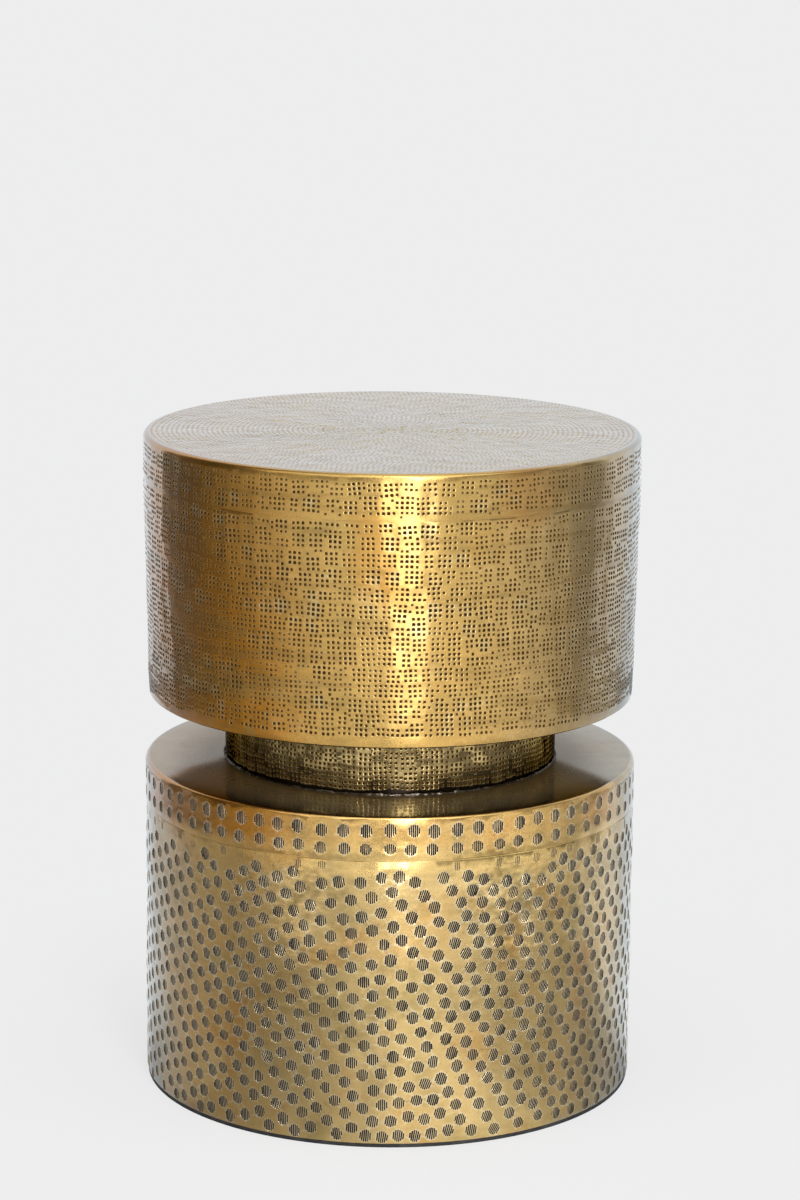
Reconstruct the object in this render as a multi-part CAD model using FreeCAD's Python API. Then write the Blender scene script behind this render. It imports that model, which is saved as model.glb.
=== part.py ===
"""Drum side table: two hammered brass drums joined by a narrow neck.

Millimetres, +Z up.  The origin is on the floor, on the table's axis.  The vertical seams
of the rolled sheets face +Y, the back of the table.
"""
import FreeCAD, Part
import math
import os

# Driving dimensions of the table
TABLE_HEIGHT = 560.0
TOP_RADIUS = 210.0
UPPER_FOOT_RADIUS = 206.0      # the upper drum narrows a little towards the waist
UPPER_BOTTOM = 336.0
LOWER_TOP = 280.0
LOWER_RADIUS = 209.0
NECK_RADIUS = 141.0
SHEET = 1.2

# Turned-down edges of the two plates, which lap over the shells
TOP_CORNER = 4.5
TOP_SKIRT = 37.0
SHOULDER_CORNER = 3.5
SHOULDER_SKIRT = 36.0
JOGGLE_HEIGHT = 1.0            # height over which a shell steps in, just below a skirt

# Wired edges: the sheet curls inward around a round wire
WIRE_RADIUS = 2.0
CURL_RADIUS = WIRE_RADIUS + SHEET

# Black rubber edging, which the lower drum stands on
DRUM_LIFT = 2.0                # underside of the lower drum above the floor
EDGING_HEIGHT = 3.2
EDGING_WIDTH = 7.0
EDGING_INSET = 0.8             # from the outside of the lower drum

# Flat-bar hoop that keeps the mouth of the lower drum round
HOOP_HEIGHT = 20.0
HOOP_THICKNESS = 3.0
HOOP_BOTTOM = 12.0

# Crossed flat bars under the top plate and under the shoulder plate
BAR_THICKNESS = 4.0
TOP_BAR_WIDTH = 25.0
SHOULDER_BAR_WIDTH = 30.0
BAR_END_GAP = 5.0              # from the outside of the drum to the bar's end
CLEAT_THICKNESS = 3.0
CLEAT_REACH = 26.0
CLEAT_DROP = 24.0
RIVET_RADIUS = 2.5
RIVET_HEAD_RADIUS = 4.5
RIVET_HEAD_HEIGHT = 2.5
RIVET_INSET = 14.0             # from the outside of the drum to the rivet's axis

# Seams, brazing and vents
SEAM_GAP = 0.4
STRAP_WIDTH = 26.0
STRAP_MARGIN = 3.0             # from a strap's end to the nearest other piece
BEAD_RADIUS = 3.5
TACK_RADIUS = 2.6
TACK_SINK = 1.0                # a tack's centre, inside the corner that it fills
HOOP_TACKS = 12
FLOOR_TACKS = 16
VENT_RADIUS = 5.0
VENT_OFFSET = 60.0             # the vents lie clear of the crossed bars

# Heights and radii that follow
UPPER_WIRE_Z = UPPER_BOTTOM + CURL_RADIUS
LOWER_WIRE_Z = DRUM_LIFT + CURL_RADIUS
FLOOR_PLATE_BOTTOM = UPPER_WIRE_Z + CURL_RADIUS
HOOP_TOP = HOOP_BOTTOM + HOOP_HEIGHT
AXIS = FreeCAD.Vector(0, 0, 1)
ORIGIN = FreeCAD.Vector(0, 0, 0)


def point(radius, height):
    """A point of a section, which lies in the XZ plane."""
    return FreeCAD.Vector(radius, 0, height)


def polar(centre, radius, degrees):
    """A point of a section at an angle about a centre given as (radius, height)."""
    turn = math.radians(degrees)
    return point(centre[0] + radius * math.cos(turn), centre[1] + radius * math.sin(turn))


def lines(*points):
    """Straight edges from each (radius, height) to the next."""
    ends = [point(*p) for p in points]
    return [Part.makeLine(a, b) for a, b in zip(ends, ends[1:])]


def arc(centre, radius, start, end):
    """A circular edge of a section from one angle to another, in degrees."""
    middle = (start + end) / 2
    ends = (polar(centre, radius, turn) for turn in (start, middle, end))
    return [Part.Arc(*ends).toShape()]


def spin(edges, degrees=360.0):
    """The solid swept by a closed section turning about the table's axis."""
    face = Part.Face(Part.Wire(Part.__sortEdges__(edges)))
    return face.revolve(ORIGIN, AXIS, degrees)


def turned(shape, degrees):
    """A copy of a shape turned about the table's axis."""
    copy = shape.copy()
    copy.rotate(ORIGIN, AXIS, degrees)
    return copy


def around(shape, count, first=0.0):
    """A list of copies of a shape, evenly spaced about the table's axis."""
    return [turned(shape, first + 360.0 * i / count) for i in range(count)]


def box(low, high):
    """A block between two opposite corners."""
    size = [b - a for a, b in zip(low, high)]
    return Part.makeBox(*size, FreeCAD.Vector(*low))


def pipe(inner, outer, low, high):
    """A plain ring of rectangular section."""
    return spin(lines((inner, low), (outer, low), (outer, high), (inner, high), (inner, low)))


def curled_shell(foot_radius, top_radius, wire_z, skirt_bottom, top):
    """A rolled sheet: wired edge below, joggled in above to fit behind a plate's skirt."""
    wire = (foot_radius - CURL_RADIUS, wire_z)
    step = skirt_bottom - JOGGLE_HEIGHT
    lap = top_radius - SHEET
    outside = lines(
        (foot_radius, wire_z),
        (top_radius, step),
        (lap, skirt_bottom),
        (lap, top),
    )
    inside = lines(
        (lap, top),
        (lap - SHEET, top),
        (lap - SHEET, skirt_bottom),
        (top_radius - SHEET, step),
        (foot_radius - SHEET, wire_z),
    )
    curl_in = arc(wire, WIRE_RADIUS, 0, -270)
    curl_end = lines((wire[0], wire_z + WIRE_RADIUS), (wire[0], wire_z + CURL_RADIUS))
    curl_out = arc(wire, CURL_RADIUS, -270, 0)
    shell = spin(outside + inside + curl_in + curl_end + curl_out)
    seam = box((-SEAM_GAP / 2, foot_radius / 2, 0), (SEAM_GAP / 2, TABLE_HEIGHT, TABLE_HEIGHT))
    return shell.cut(seam)


def lap_braze(radius, skirt_bottom):
    """The filler that closes the groove between a skirt's edge and the joggled shell."""
    lap = radius - SHEET
    step = skirt_bottom - JOGGLE_HEIGHT
    return spin(lines((radius, step), (radius, skirt_bottom), (lap, skirt_bottom), (radius, step)))


def skirted_plate(radius, top, corner, skirt):
    """A spun disc with a rounded corner and a turned-down skirt."""
    bend = (radius - corner, top - corner)
    section = lines((0, top - SHEET), (0, top), (bend[0], top))
    section += arc(bend, corner, 90, 0)
    section += lines(
        (radius, bend[1]),
        (radius, top - skirt),
        (radius - SHEET, top - skirt),
        (radius - SHEET, bend[1]),
    )
    section += arc(bend, corner - SHEET, 0, 90)
    section += lines((bend[0], top - SHEET), (0, top - SHEET))
    return spin(section)


def vent(top):
    """The cutter for a vent hole through a plate whose upper face is at this height."""
    start = FreeCAD.Vector(VENT_OFFSET, VENT_OFFSET, top - SHEET)
    return Part.makeCylinder(VENT_RADIUS, SHEET, start)


def rim_wire(foot_radius, wire_z):
    """The round wire inside a curled edge."""
    centre = FreeCAD.Vector(0, 0, wire_z)
    return Part.makeTorus(foot_radius - CURL_RADIUS, WIRE_RADIUS, centre, AXIS)


def seam_strap(low, high, radius_low, radius_high):
    """A strip brazed behind a seam, following the inside of the sheet from low to high."""
    spread = math.degrees(STRAP_WIDTH / radius_low)
    section = lines(
        (radius_low - SHEET, low),
        (radius_low, low),
        (radius_high, high),
        (radius_high - SHEET, high),
        (radius_low - SHEET, low),
    )
    return turned(spin(section, spread), 90 - spread / 2)


def bead(height, side):
    """A brazed fillet around the neck, standing on a plate (side 1) or under one (side -1)."""
    corner = (NECK_RADIUS, height)
    section = lines(corner, (NECK_RADIUS + BEAD_RADIUS, height))
    section += arc(corner, BEAD_RADIUS, 0, side * 90)
    section += lines((NECK_RADIUS, height + side * BEAD_RADIUS), corner)
    return spin(section)


def largest(shape):
    """The largest solid of a shape that cuts have divided."""
    return max(shape.Solids, key=lambda solid: solid.Volume)


def tacks(count, radius, height, neighbours):
    """Blobs of braze around the table's axis, shaped by the pieces that they join."""
    blob = Part.makeSphere(TACK_RADIUS, point(radius, height)).cut(neighbours)
    return Part.makeCompound(around(largest(blob), count, 180.0 / count))


def brace_bar(radius, width, under, keep_upper):
    """A flat bar across a drum under a plate, halved where it crosses the other one."""
    reach = radius - BAR_END_GAP
    middle = under - BAR_THICKNESS / 2
    bar = box((-reach, -width / 2, under - BAR_THICKNESS), (reach, width / 2, under))
    bar = bar.common(Part.makeCylinder(reach, TABLE_HEIGHT))
    if keep_upper:
        notch = box((-width / 2, -width, under - BAR_THICKNESS), (width / 2, width, middle))
    else:
        notch = box((-width / 2, -width, middle), (width / 2, width, under))
    return bar.cut(notch)


def brace_cleat(radius, width, under, shell):
    """An angle under a bar's end, with its upright leg against the inside of a shell."""
    seat = under - BAR_THICKNESS
    leg_back = radius - 2 * SHEET - CLEAT_THICKNESS
    shelf = box(
        (radius - CLEAT_REACH, -width / 2, seat - CLEAT_THICKNESS),
        (radius, width / 2, seat),
    )
    upright = box((leg_back, -width / 2, seat - CLEAT_DROP), (radius, width / 2, seat))
    inside = Part.makeCylinder(radius - SHEET / 2, TABLE_HEIGHT)
    return largest(shelf.fuse(upright).removeSplitter().common(inside).cut(shell))


def rivet(radius, under):
    """A rivet through a bar and its cleat, flush above and domed below."""
    seat = under - BAR_THICKNESS - CLEAT_THICKNESS
    axis = radius - RIVET_INSET
    shank = Part.makeCylinder(RIVET_RADIUS, under - seat, point(axis, seat))
    rise = RIVET_HEAD_HEIGHT
    ball = (RIVET_HEAD_RADIUS ** 2 + rise ** 2) / (2 * rise)
    head = Part.makeSphere(ball, point(axis, seat - rise + ball))
    below = Part.makeCylinder(RIVET_HEAD_RADIUS, rise, point(axis, seat - rise))
    return shank.fuse(head.common(below)).removeSplitter()


def brace_set(name, radius, width, under, shell):
    """Two crossed bars under a plate, with a cleat and a rivet at each of the four ends."""
    holes = around(rivet(radius, under), 4)
    long_bar = brace_bar(radius, width, under, True).cut([holes[0], holes[2]])
    cross_bar = turned(brace_bar(radius, width, under, False), 90).cut([holes[1], holes[3]])
    cleat = brace_cleat(radius, width, under, shell).cut(holes[0])
    return {
        name + "_brace_long": long_bar,
        name + "_brace_cross": cross_bar,
        name + "_brace_cleats": Part.makeCompound(around(cleat, 4)),
        name + "_brace_rivets": Part.makeCompound(holes),
    }


def lower_drum():
    """The base: an open-mouthed drum on rubber edging."""
    skirt_bottom = LOWER_TOP - SHOULDER_SKIRT
    shell_top = LOWER_TOP - SHOULDER_CORNER
    inside = LOWER_RADIUS - SHEET
    shell = curled_shell(LOWER_RADIUS, LOWER_RADIUS, LOWER_WIRE_Z, skirt_bottom, shell_top)
    plate = skirted_plate(LOWER_RADIUS, LOWER_TOP, SHOULDER_CORNER, SHOULDER_SKIRT)
    hoop = pipe(inside - HOOP_THICKNESS, inside, HOOP_BOTTOM, HOOP_TOP)
    edging_outside = LOWER_RADIUS - EDGING_INSET
    edging = pipe(edging_outside - EDGING_WIDTH, edging_outside, 0, EDGING_HEIGHT)
    hem = Part.makeTorus(
        LOWER_RADIUS - CURL_RADIUS, CURL_RADIUS, FreeCAD.Vector(0, 0, LOWER_WIRE_Z), AXIS
    )
    strap_low = HOOP_TOP + STRAP_MARGIN
    strap_high = skirt_bottom - JOGGLE_HEIGHT - STRAP_MARGIN
    nodes = {
        "rubber_foot_ring": edging.cut(hem),
        "base_rim_wire": rim_wire(LOWER_RADIUS, LOWER_WIRE_Z),
        "base_hoop": hoop,
        "base_hoop_tacks": tacks(HOOP_TACKS, inside - TACK_SINK, HOOP_TOP, [shell, hoop]),
        "lower_shell": shell,
        "lower_seam_strap": seam_strap(strap_low, strap_high, inside, inside),
        "shoulder_lap_braze": lap_braze(LOWER_RADIUS, skirt_bottom),
        "shoulder_plate": plate.cut(vent(LOWER_TOP)),
    }
    under = LOWER_TOP - SHEET
    nodes.update(brace_set("shoulder", LOWER_RADIUS, SHOULDER_BAR_WIDTH, under, shell))
    return nodes


def neck():
    """The waist: a short rolled collar, brazed to the plate below and the plate above."""
    collar = pipe(NECK_RADIUS - SHEET, NECK_RADIUS, LOWER_TOP, FLOOR_PLATE_BOTTOM)
    seam = box((-SEAM_GAP / 2, 0, 0), (SEAM_GAP / 2, TABLE_HEIGHT, TABLE_HEIGHT))
    inside = NECK_RADIUS - SHEET
    strap_low = LOWER_TOP + STRAP_MARGIN
    strap_high = FLOOR_PLATE_BOTTOM - STRAP_MARGIN
    return {
        "neck_collar": collar.cut(seam),
        "neck_seam_strap": seam_strap(strap_low, strap_high, inside, inside),
        "neck_lower_bead": bead(LOWER_TOP, 1),
        "neck_upper_bead": bead(FLOOR_PLATE_BOTTOM, -1),
    }


def upper_drum():
    """The table top: a closed drum whose underside plate is recessed above its wired edge."""
    skirt_bottom = TABLE_HEIGHT - TOP_SKIRT
    shell_top = TABLE_HEIGHT - TOP_CORNER
    shell = curled_shell(UPPER_FOOT_RADIUS, TOP_RADIUS, UPPER_WIRE_Z, skirt_bottom, shell_top)
    slope = (TOP_RADIUS - UPPER_FOOT_RADIUS) / (skirt_bottom - JOGGLE_HEIGHT - UPPER_WIRE_Z)

    def inside(height):
        """Inner radius of the tapered wall at a height."""
        return UPPER_FOOT_RADIUS - SHEET + slope * (height - UPPER_WIRE_Z)

    plate_top = FLOOR_PLATE_BOTTOM + SHEET
    floor_plate = Part.makeCylinder(
        inside(FLOOR_PLATE_BOTTOM), SHEET, FreeCAD.Vector(0, 0, FLOOR_PLATE_BOTTOM)
    )
    floor_plate = floor_plate.cut(vent(plate_top))
    tack_ring = UPPER_FOOT_RADIUS - 2 * CURL_RADIUS
    tack_z = FLOOR_PLATE_BOTTOM - TACK_SINK
    strap_low = plate_top + STRAP_MARGIN
    strap_high = skirt_bottom - JOGGLE_HEIGHT - STRAP_MARGIN
    nodes = {
        "upper_floor_plate": floor_plate,
        "upper_floor_tacks": tacks(FLOOR_TACKS, tack_ring, tack_z, [shell, floor_plate]),
        "upper_rim_wire": rim_wire(UPPER_FOOT_RADIUS, UPPER_WIRE_Z),
        "upper_shell": shell,
        "upper_seam_strap": seam_strap(
            strap_low, strap_high, inside(strap_low), inside(strap_high)
        ),
        "top_lap_braze": lap_braze(TOP_RADIUS, skirt_bottom),
        "top_plate": skirted_plate(TOP_RADIUS, TABLE_HEIGHT, TOP_CORNER, TOP_SKIRT),
    }
    under = TABLE_HEIGHT - SHEET
    nodes.update(brace_set("top", TOP_RADIUS, TOP_BAR_WIDTH, under, shell))
    return nodes


def main():
    """Write one STEP file for each piece."""
    os.makedirs("parts", exist_ok=True)
    nodes = {**lower_drum(), **neck(), **upper_drum()}
    for name, shape in nodes.items():
        shape.exportStep("parts/" + name + ".step")
        print(name, len(shape.Solids), "solids", round(shape.Volume / 1000, 1), "cm3", shape.isValid())


main()
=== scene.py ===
"""The looks of a drum side table: two punched and hammered antique-brass drums on a neck.

Metres, +Z up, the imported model's own frame.  The camera side is -Y and the sheets' seams
face +Y.  Punch marks are real dents: each sheet is triangulated around its marks while flat
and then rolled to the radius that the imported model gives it.
"""
import bpy
import math
from types import SimpleNamespace
import numpy as np
from mathutils import Matrix, Vector
from mathutils.geometry import delaunay_2d_cdt


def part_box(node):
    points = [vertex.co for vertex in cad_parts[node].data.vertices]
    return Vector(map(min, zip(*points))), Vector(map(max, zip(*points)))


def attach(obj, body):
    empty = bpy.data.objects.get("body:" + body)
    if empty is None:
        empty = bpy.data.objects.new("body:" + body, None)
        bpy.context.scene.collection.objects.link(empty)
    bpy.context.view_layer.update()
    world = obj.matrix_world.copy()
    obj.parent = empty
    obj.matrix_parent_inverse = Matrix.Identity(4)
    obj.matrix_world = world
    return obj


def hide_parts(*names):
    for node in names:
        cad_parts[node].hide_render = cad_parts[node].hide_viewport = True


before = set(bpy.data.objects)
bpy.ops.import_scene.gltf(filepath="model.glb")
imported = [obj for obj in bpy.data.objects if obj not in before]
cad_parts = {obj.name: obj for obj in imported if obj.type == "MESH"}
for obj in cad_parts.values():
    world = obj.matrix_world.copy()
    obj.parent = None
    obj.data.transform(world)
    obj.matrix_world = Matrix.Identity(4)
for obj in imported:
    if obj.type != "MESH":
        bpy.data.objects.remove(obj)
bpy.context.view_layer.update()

MM = 0.001
TURN = 2 * math.pi


# ---------------------------------------------------------------- sizes from the frame

def low(node):
    """Lowest height of a node."""
    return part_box(node)[0].z


def high(node):
    """Greatest height of a node."""
    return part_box(node)[1].z


def reach(node):
    """Greatest radius of a node that is round about the table's axis."""
    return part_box(node)[1].x


SHEET = high("upper_floor_plate") - low("upper_floor_plate")
WIRE_RADIUS = (high("base_rim_wire") - low("base_rim_wire")) / 2
CURL_RADIUS = WIRE_RADIUS + SHEET
LAP_HEIGHT = high("top_lap_braze") - low("top_lap_braze")

TABLE_TOP = high("top_plate")
TOP_RADIUS = reach("top_plate")
TOP_SKIRT_END = low("top_plate")
TOP_CORNER = TABLE_TOP - high("upper_shell")
UPPER_FOOT = reach("upper_rim_wire") + SHEET
UPPER_WIRE_Z = (low("upper_rim_wire") + high("upper_rim_wire")) / 2

SHOULDER_TOP = high("shoulder_plate")
LOWER_RADIUS = reach("shoulder_plate")
SHOULDER_SKIRT_END = low("shoulder_plate")
SHOULDER_CORNER = SHOULDER_TOP - high("lower_shell")
LOWER_WIRE_Z = (low("base_rim_wire") + high("base_rim_wire")) / 2

NECK_RADIUS = reach("neck_collar")
NECK_TOP = high("neck_collar")
BEAD_RADIUS = reach("neck_lower_bead") - NECK_RADIUS
VENT_CENTRE = (60 * MM, 60 * MM)      # hidden by the neck: one hole through the shoulder plate
VENT_RADIUS = 5 * MM

# ---------------------------------------------------------------- other named sizes

COLUMNS = 288                 # steps around the table in every lathe-turned surface
SEAM_ANGLE = math.pi / 2      # the rolled sheets meet at the back
FRONT = math.pi               # the camera side, as an angle from the seam
SEAM_CLEAR = 3 * MM           # no punch mark comes nearer to a seam
SEAM_BRAZE = 0.6 * MM         # how far the braze reaches to each side of a seam
SEAM_DIP = 0.15 * MM          # how much lower it lies
CORNER_TURN = 0.35            # radians of a plate's rounded corner that can carry marks
VENT_STEPS = 24

# Small square punch, used on the upper drum, neck and table top
DOT_PITCH = 4.1 * MM
DOT_SIZE = 3.25 * MM
DOT_DEPTH = 0.55 * MM
DOT_GAP = 3.55 * MM           # nearest two dots
DOT_CLEAR = 2.3 * MM          # no loose point of the grid comes nearer to a dot's centre
STRIKE_ROW = 14.7 * MM        # between the first two courses of strikes
ROW_CLOSING = 0.19 * MM       # by which each next course is nearer
STRIKE_STEP = 14.9 * MM       # between strikes along a course
FIRST_STRIKE = 12.8 * MM      # the first course's centre, below the top
STRIKE_SIZE = 17.0 * MM       # the hollow that a strike leaves
STRIKE_DEPTH = 0.26 * MM

# Round ribbed punch, used on the lower drum
RIB_PITCH = 1.62 * MM
RIB_WIDTH = 1.34 * MM
RIB_DEPTH = 0.5 * MM
SHORTEST_RIB = 2.4 * MM
ROUND_SIZE = 10.4 * MM
DISH_DEPTH = 0.42 * MM
RIM_WEAR_AND_HIGHLIGHT = 0.70               # how much the raised rim of a round mark is rubbed bright, partly as a painted highlight
ROUND_RINGS = ((8, 0.565, RIM_WEAR_AND_HIGHLIGHT), (7, 0.69, 0.0))    # points around it: count, reach, wear
ROUND_GAP = 8.2 * MM          # nearest two round marks
ROUND_CLEAR = 7.2 * MM        # no loose point of the grid comes nearer to a round mark's centre
NEAREST_ROUND = 13.6 * MM     # to which neighbours on the wall are pushed apart
ROUND_ROW = 14.8 * MM         # between marks up the sheet
SKIRT_STEP = 18.3 * MM        # marks along the rows on the shoulder's skirt
SKIRT_FIRST = 11.4 * MM       # how far each row is below the shoulder's top or the row above
SKIRT_SECOND = 15.4 * MM
FAINT_ROW = 15.2 * MM
BELOW_FAINT = 7.5 * MM        # the highest other marks on the wall
ABOVE_WIRE = 4.2 * MM         # the lowest ones

# How the wall's rows of round marks run, at places along the sheet from its front: how steeply
# they rise to the right, how far apart the marks in them are, how far apart the rows are as a
# share of ROUND_ROW, and how far each row slips to the left of the one above
BENDS = np.array([-145, -72, -25, 10, 56, 125]) * MM
ROW_RISE = (0.46, 0.48, 0.21, 0.21, 0.73, 0.72)
ROW_PITCH = np.array([14.4, 14.3, 16.4, 16.0, 12.8, 12.8]) * MM
ROW_SPREAD = (1.01, 1.0, 0.95, 0.96, 1.12, 1.04)
ROW_SLIP = np.array([0.2, -0.6, -0.2, 0.0, 0.8, -0.3]) * MM
TILT_ENDS = (0.08, -0.30)     # the ribs' tilt at the second and at the fifth of those places

# Camera, fitted to the drums' edges in an 800 x 1200 image
IMAGE_HEIGHT = 1200
FOCAL_PIXELS = 3647.1
SENSOR = 36.0
CAMERA_PLACE = (0.0074, -3.0295, 1.0756)
CAMERA_PITCH = 0.2152
CAMERA_ROLL = 0.0089


# ---------------------------------------------------------------- smooth random fields

class Ripple:
    """A smooth wavy field over angle and height, the same all the way round."""

    def __init__(self, seed, waves, shortest, amplitude, radius=0.2):
        rng = np.random.default_rng(seed)
        size = shortest * (1 + 3 * rng.random(waves))
        heading = rng.random(waves) * TURN
        self.around = np.round(np.cos(heading) * TURN * radius / size)
        self.along = np.sin(heading) * TURN / size
        self.phase = rng.random(waves) * TURN
        self.weight = amplitude * math.sqrt(2 / waves)

    def __call__(self, angle, height):
        angle, height = np.asarray(angle, float), np.asarray(height, float)
        waves = (np.cos(a * angle + b * height + c)
                 for a, b, c in zip(self.around, self.along, self.phase))
        return self.weight * sum(waves)


# ---------------------------------------------------------------- punch marks on flat sheets

def paired(first, second):
    """Two arrays, or an array and a number, as an array of pairs."""
    return np.stack(np.broadcast_arrays(first, second), axis=-1)


def chained(ids, closed=False):
    """Edges from each point to the next one, and perhaps from the last to the first."""
    edges = paired(ids, np.roll(ids, -1, axis=-1))
    return (edges if closed else edges[..., :-1, :]).reshape(-1, 2)


def about_axis(radius, angle, height):
    """Places around the table's axis."""
    places = np.broadcast_arrays(radius * np.cos(angle), radius * np.sin(angle), height)
    return np.stack(places, axis=-1)


class Marks:
    """Dents on a flat pattern: rings of points at the surface around cores at the bottom.

    Each row is a point: its place, depth, patina, wear and the number of its rim, or 0.
    """

    def __init__(self):
        self.rows, self.edges, self.centres = [np.empty((0, 6))], [np.empty((0, 2), int)], []
        self.count = 0
        self.dents = 0

    def add_points(self, points, depth=0, patina=0, wear=0, rim=0):
        """Points with one value for all of them, or one for each."""
        values = [np.broadcast_to(value, len(points)) for value in (depth, patina, wear, rim)]
        self.rows.append(np.column_stack([points, *values]))
        self.count += len(points)

    def add_dents(self, rings, cores, depths, wear):
        """Rings (n, k, 2) around chains of core points (n, m, 2), one depth and wear each."""
        number, ring_size = rings.shape[:2]
        core_size = cores.shape[1]
        first = self.count + (ring_size + core_size) * np.arange(number)[:, None]
        self.edges += [chained(first + np.arange(ring_size), closed=True),
                       chained(first + ring_size + np.arange(core_size))]

        def spread(ring_value, core_value):
            parts = [np.broadcast_to(ring_value, (number, ring_size)),
                     np.broadcast_to(core_value, (number, core_size))]
            return np.concatenate(parts, axis=1).ravel()

        identity = (self.dents + 1 + np.arange(number))[:, None]
        self.dents += number
        wear = np.asarray(wear)[:, None]
        self.add_points(np.concatenate([rings, cores], axis=1).reshape(-1, 2),
                        spread(0.0, -np.asarray(depths)[:, None]), spread(0.0, 1.0),
                        spread(wear, wear), spread(identity, 0))


class Cells:
    """Points sorted into square cells, to find the ones near a place."""

    def __init__(self, size):
        self.size = size
        self.cells = {}

    def cell(self, x, y):
        return int(x // self.size), int(y // self.size)

    def add(self, x, y):
        self.cells.setdefault(self.cell(x, y), []).append((x, y))

    def offsets(self, x, y):
        """Offsets of a place from the points in its own cell and the ones around it."""
        column, row = self.cell(x, y)
        return [(x - a, y - b) for i in (-1, 0, 1) for j in (-1, 0, 1)
                for a, b in self.cells.get((column + i, row + j), ())]


def spaced(points, gap, square=False):
    """Indices of the points that lie a gap or more from every point kept before them."""
    cells, kept = Cells(gap), []
    for index, (x, y) in enumerate(np.asarray(points).tolist()):
        near = cells.offsets(x, y)
        if square:
            free = all(max(abs(a), abs(b)) >= gap for a, b in near)
        else:
            free = all(a * a + b * b >= gap * gap for a, b in near)
        if free:
            cells.add(x, y)
            kept.append(index)
    return kept


def eased(points, reach, rounds, bottom, top):
    """Points pushed apart where two are nearer than the reach, kept between two heights."""
    for _ in range(rounds):
        apart = points[:, None] - points[None]
        distance = np.hypot(apart[..., 0], apart[..., 1])
        np.fill_diagonal(distance, reach)
        push = 0.4 * np.clip(reach / np.maximum(distance, MM) - 1, 0, 1)
        points = points + (apart * push[..., None]).sum(axis=1)
        points[:, 1] = np.clip(points[:, 1], bottom, top)
    return points


def turn_points(points, angles):
    """Point sets (n, k, 2), each turned by its own angle."""
    cos, sin = np.cos(angles)[:, None], np.sin(angles)[:, None]
    x, y = points[..., 0], points[..., 1]
    return paired(x * cos - y * sin, x * sin + y * cos)


def dot_dents(marks, centres, strength, angles, depth=DOT_DEPTH, size=DOT_SIZE, corner=0.55):
    """Small square dents. A weak one is smaller, shallower, paler and has plain corners."""
    cut = np.array([(1, corner), (corner, 1), (-corner, 1), (-1, corner),
                    (-1, -corner), (-corner, -1), (corner, -1), (1, -corner)])
    plain = np.array([(1, 1), (-1, 1), (-1, -1), (1, -1)]) * 0.93
    strong = strength > 0.55
    for chosen, outline in ((strong, cut), (~strong, plain)):
        force = strength[chosen]
        half = size / 2 * (0.74 + 0.26 * force)
        rings = turn_points(outline[None] * half[:, None, None], angles[chosen])
        middle = centres[chosen][:, None]
        marks.add_dents(rings + middle, middle + 0, depth * (0.25 + 0.75 * force),
                        0.35 + 0.65 * force)
    marks.centres.append(centres)


def strike_dots(rng, length, heights, step, drift, fullness):
    """Dots that strikes of the square punch leave: centres, strengths, angles; and strikes."""
    centres, strengths, angles, strikes = [], [], [], []
    offsets = np.array([(i, j) for i in range(-2, 3) for j in range(-2, 3)], float)
    for height in heights:
        pitch = step(height)
        number = int(length // pitch)
        places = (np.arange(number) + rng.random()) * length / number
        for place in places + rng.normal(0, 0.6 * MM, number):
            force = np.clip(fullness(place, height) + rng.normal(0, 0.15), 0.0, 1.15)
            if force < 0.3:
                continue
            lean = rng.normal(0, 0.42, 2)
            distance = np.hypot(*(offsets - lean).T)
            strength = force * np.clip(1.40 - 0.42 * distance, 0, 1)
            keep = strength > 0.22 + 0.12 * rng.random(len(strength))
            angle = rng.normal(0, 0.035)
            local = offsets[keep] * DOT_PITCH * (1 + rng.normal(0, 0.015))
            local = turn_points(local[None], np.array([angle]))[0]
            local += rng.normal(0, 0.08 * MM, local.shape)
            middle = (place, height + drift(place) + rng.normal(0, 0.5 * MM))
            strikes.append((*middle, force))
            centres.append(local + middle)
            strengths.append(strength[keep] * rng.uniform(0.85, 1.1, keep.sum()))
            angles.append(np.full(keep.sum(), angle) + rng.normal(0, 0.05, keep.sum()))
    centres, strengths, angles = map(np.concatenate, (centres, strengths, angles))
    order = np.argsort(-strengths, kind="stable")
    order = order[spaced(centres[order], DOT_GAP, square=True)]
    dots = centres[order], np.clip(strengths[order], 0, 1), angles[order]
    return dots, np.array(strikes)


def pick_dots(dots, length, bottom, top):
    """The dots that fall well inside a strip of wall."""
    centres, strengths, angles = dots
    margin = DOT_SIZE * 0.58
    inside = (centres[:, 0] > SEAM_CLEAR) & (centres[:, 0] < length - SEAM_CLEAR)
    inside &= (centres[:, 1] > bottom + margin) & (centres[:, 1] < top - margin)
    return centres[inside], strengths[inside], angles[inside]


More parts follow.
